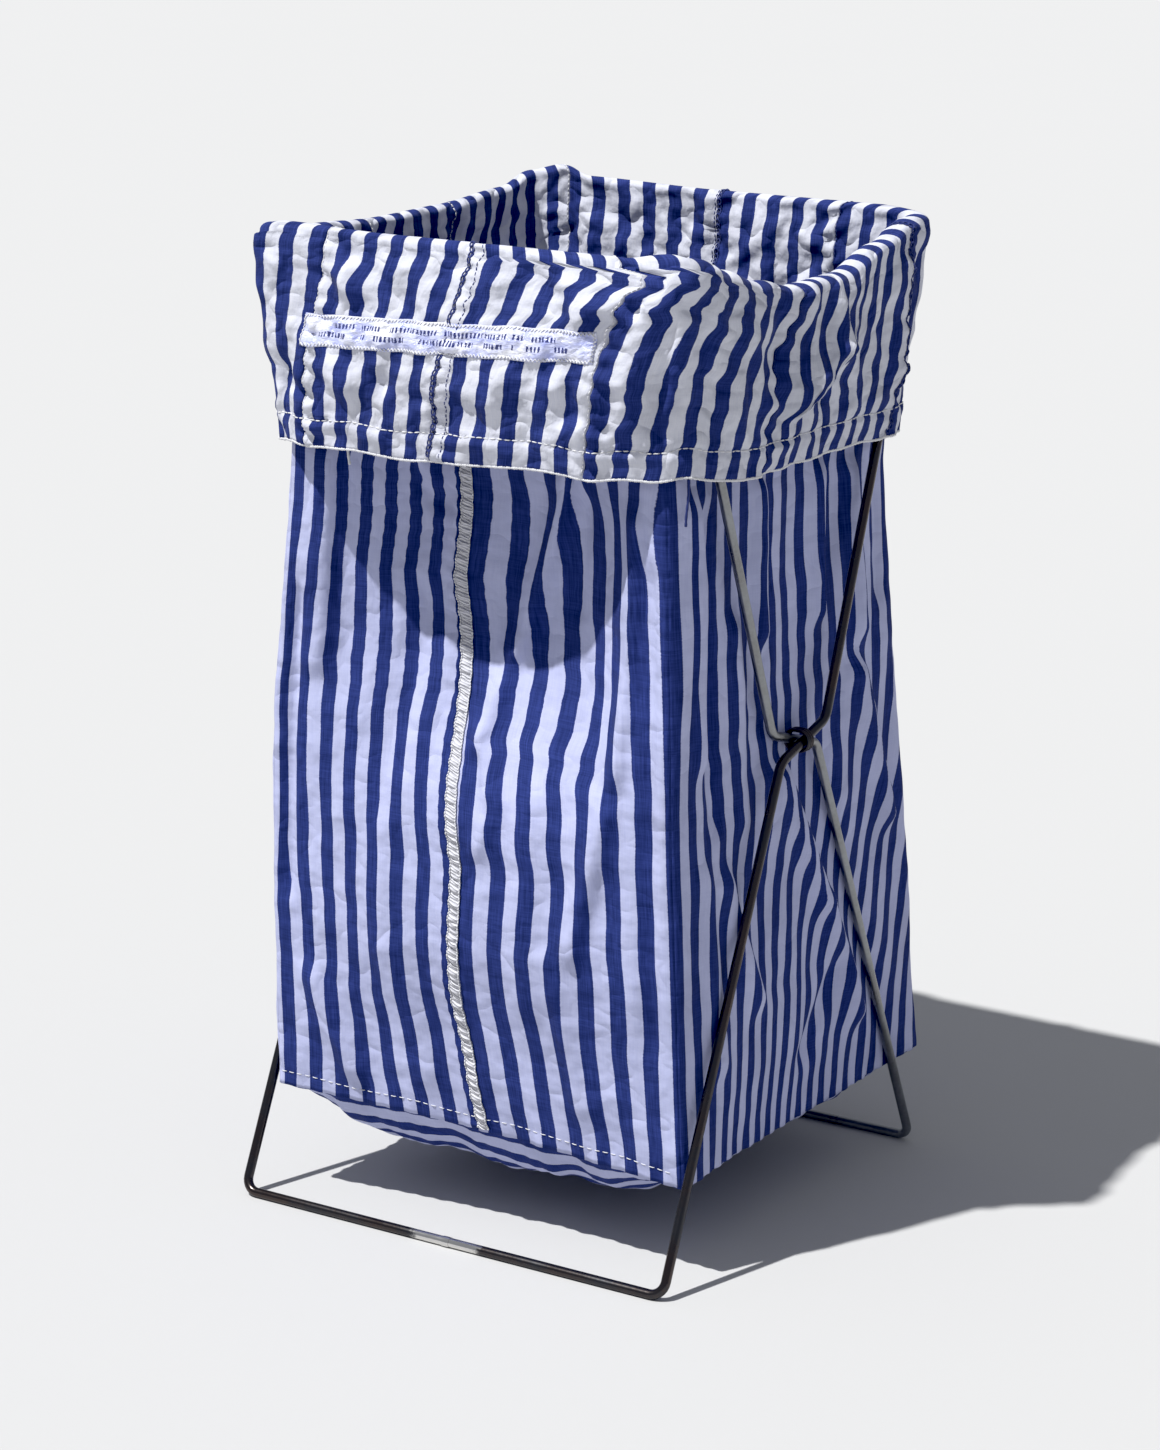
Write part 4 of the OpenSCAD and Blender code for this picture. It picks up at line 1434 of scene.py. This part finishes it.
def pieces_of_body():
    cloth = bpy.context.scene.sack_cloth
    ring = body_ring()
    n = BODY_SIDE_COLUMNS
    half = n // 2
    tall = (BAND_LOW_Z - SEAM_Z) * MM
    panels = (
        ("body_front_left_panel", 0, half, BODY_FRONT_CLOTH),
        ("body_front_right_panel", half, n, BODY_FRONT_CLOTH),
        ("body_right_panel", n, 2 * n, BODY_SIDE_CLOTH),
        ("body_rear_panel", 2 * n, 3 * n, 2 * BODY_FRONT_CLOTH),
        ("body_left_panel", 3 * n, 4 * n, BODY_SIDE_CLOTH),
    )
    for node, first, last, width in panels:
        points, places = panel_grid(ring, first, last)
        piece = cloth_shell(node + "_cloth", points, places, cloth.thickness / MM)
        settle(piece, "stripe_body", node, flat=(width * MM, tall), rests_on=["band_left_cloth"])
    points, places = bottom_grid(ring)
    piece = cloth_shell("bottom_panel_cloth", points[::-1], places[::-1], cloth.thickness / MM)
    settle(piece, "stripe_body", "bottom_panel", flat=(0.290, 0.318), rests_on=["body_left_panel_cloth"])
    return ring


def pieces_of_band(body):
    cloth = bpy.context.scene.sack_cloth
    ring = band_ring(body)
    tall = ring.height[-1] * MM
    for i, (name, nodes) in enumerate(BAND_PIECES):
        points, places = ring.piece(i)
        piece = cloth_shell(name + "_cloth", points, places, cloth.thickness / MM)
        rests_on = ["front_top_frame"] if "front" in name else ["rear_top_frame"]
        settle(piece, "stripe_band", *nodes, flat=(BAND_WIDTHS[i] * MM, tall), rests_on=rests_on)
    return ring


# ---- operators ----

class MAILSACK_OT_stage(bpy.types.Operator):
    """Adds the floor, the light and the camera"""
    bl_idname = "mailsack.stage"
    bl_label = "Stage"

    def execute(self, context):
        stage = context.scene.sack_stage
        camera_data = bpy.data.cameras.new("camera")
        camera_data.sensor_fit = "VERTICAL"
        camera_data.sensor_height = 36
        camera_data.lens = 94.55
        camera_data.clip_end = 200
        camera = bpy.data.objects.new("camera", camera_data)
        context.scene.collection.objects.link(camera)
        yaw, pitch, roll = (math.radians(a) for a in (31.69, -14.907, 0.779))
        camera.matrix_world = (Matrix.Translation((1.1954, -1.9489, 0.9014))
                               @ Matrix.Rotation(yaw, 4, "Z")
                               @ Matrix.Rotation(math.pi / 2 + pitch, 4, "X")
                               @ Matrix.Rotation(roll, 4, "Z"))
        context.scene.camera = camera

        size = 40
        floor = new_object("floor", np.array([(-size, -size, 0), (size, -size, 0), (size, size, 0),
                                              (-size, size, 0)]) / MM, [(0, 1, 2, 3)])
        floor.data.materials.append(floor_finish(stage.floor))

        key_data = bpy.data.lights.new("key", "SUN")
        key_data.energy = stage.key
        key_data.angle = math.radians(1.1)
        key = bpy.data.objects.new("key", key_data)
        toward = Vector((-0.237, -0.45, 1.0))
        key.matrix_world = toward.to_track_quat("Z", "Y").to_matrix().to_4x4()
        context.scene.collection.objects.link(key)
        world = bpy.data.worlds.new("even_light")
        world.use_nodes = True
        sky = world.node_tree.nodes["Background"]
        sky.inputs["Color"].default_value = (0.97, 1.0, 1.08, 1)
        sky.inputs["Strength"].default_value = stage.fill
        context.scene.world = world
        view = context.scene.view_settings
        view.view_transform = "Standard"
        view.use_curve_mapping = True
        view.curve_mapping.black_level = (0.010, 0.009, 0.005)
        view.curve_mapping.update()
        return {"FINISHED"}


class MAILSACK_OT_tails(bpy.types.Operator):
    """Adds the thread ends that hang below the cuff"""
    bl_idname = "mailsack.tails"
    bl_label = "Thread ends"

    def execute(self, context):
        for node, slot in (("thread_tail_right", "thread_dark"), ("thread_tail_left", "thread_white")):
            path = tail_path(node)
            twist = 0.8 * (1 + 0.12 * np.sin(np.arange(len(path)) * 1.7))
            piece = thread_piece(node + "_thread", [rope_parts(path, twist, 10)], slot)
            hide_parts(node)
        return {"FINISHED"}


class MAILSACK_OT_stand(bpy.types.Operator):
    """Finishes the wire stand, its welds and its wound rings"""
    bl_idname = "mailsack.stand"
    bl_label = "Wire stand"

    def execute(self, context):
        slots = {
            "front_top_frame": "steel_bright", "rear_top_frame": "steel_dark",
            "front_foot_weld": "weld", "rear_foot_weld": "weld",
            "pivot_ring_right": "winding", "pivot_ring_left": "winding",
        }
        for node, slot in slots.items():
            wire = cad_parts[node]
            if not wire.material_slots:
                raise RuntimeError(f"{node} has no material slot")
            for place in wire.material_slots:
                place.link = "OBJECT"
                place.material = finish(slot)
        for node in ("front_top_frame", "rear_top_frame"):
            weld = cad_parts[node].modifiers.new("join_sections", "WELD")
            weld.merge_threshold = 1e-6
            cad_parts[node].modifiers.new("smooth_round", "WEIGHTED_NORMAL")
        return {"FINISHED"}


class MAILSACK_OT_body(bpy.types.Operator):
    """Adds the walls and the sagging bottom of the sack"""
    bl_idname = "mailsack.body"
    bl_label = "Body"

    def execute(self, context):
        ring = pieces_of_body()
        half = BODY_SIDE_COLUMNS // 2
        serged_strip("front_serged_strip", "front_serged_seam", ring, half, 1)
        serged_strip("rear_serged_strip", "rear_serged_seam", ring, 2 * BODY_SIDE_COLUMNS + half, -1)
        parts = []
        for side in (FRONT, REAR):
            line = np.linspace(side + 0.01, side + 0.99, 400) * BODY_SIDE_COLUMNS
            spots, faces = line_on(ring, line, 3.0 + 0.2 * np.sin(line * 0.21), 5.6, 1.9)
            parts += stitch_row(spots, faces, 0.3)
        thread_piece("body_bottom_stitches", parts, "thread_white")
        return {"FINISHED"}


class MAILSACK_OT_cuff(bpy.types.Operator):
    """Adds the pieced band with its turned-down cuff"""
    bl_idname = "mailsack.cuff"
    bl_label = "Cuff"

    def execute(self, context):
        ring = pieces_of_band(body_ring())
        marks = [first for first, _ in ring.stops]
        stitching_of_band(ring, marks)
        label_piece(Skin(ring.points[INNER_ROWS + ROLL_ROWS:, :BAND_SIDE_COLUMNS]))
        return {"FINISHED"}


class MAILSACK_PT_panel(bpy.types.Panel):
    """Steps that build the sack"""
    bl_idname = "MAILSACK_PT_panel"
    bl_label = "Mail sack"
    bl_space_type = "VIEW_3D"
    bl_region_type = "UI"
    bl_category = "Mail sack"

    def draw(self, context):
        for operator in OPERATORS:
            self.layout.operator(operator.bl_idname)
        for group in ("sack_cloth", "sack_wire", "sack_stage"):
            settings = getattr(context.scene, group)
            for name in settings.__annotations__:
                self.layout.prop(settings, name)


SETTINGS = {"sack_cloth": ClothSettings, "sack_wire": WireSettings, "sack_stage": StageSettings}
OPERATORS = (MAILSACK_OT_stage, MAILSACK_OT_tails, MAILSACK_OT_stand, MAILSACK_OT_body,
             MAILSACK_OT_cuff)


def register():
    for group in (*SETTINGS.values(), *OPERATORS, MAILSACK_PT_panel):
        bpy.utils.register_class(group)
    for name, group in SETTINGS.items():
        setattr(bpy.types.Scene, name, bpy.props.PointerProperty(type=group))


def unregister():
    for name in SETTINGS:
        delattr(bpy.types.Scene, name)
    for group in (MAILSACK_PT_panel, *reversed(OPERATORS), *SETTINGS.values()):
        bpy.utils.unregister_class(group)


def main():
    register()
    bpy.ops.mailsack.stage()
    bpy.ops.mailsack.tails()
    bpy.ops.mailsack.stand()
    bpy.ops.mailsack.body()
    bpy.ops.mailsack.cuff()


if __name__ == "__main__":
    main()
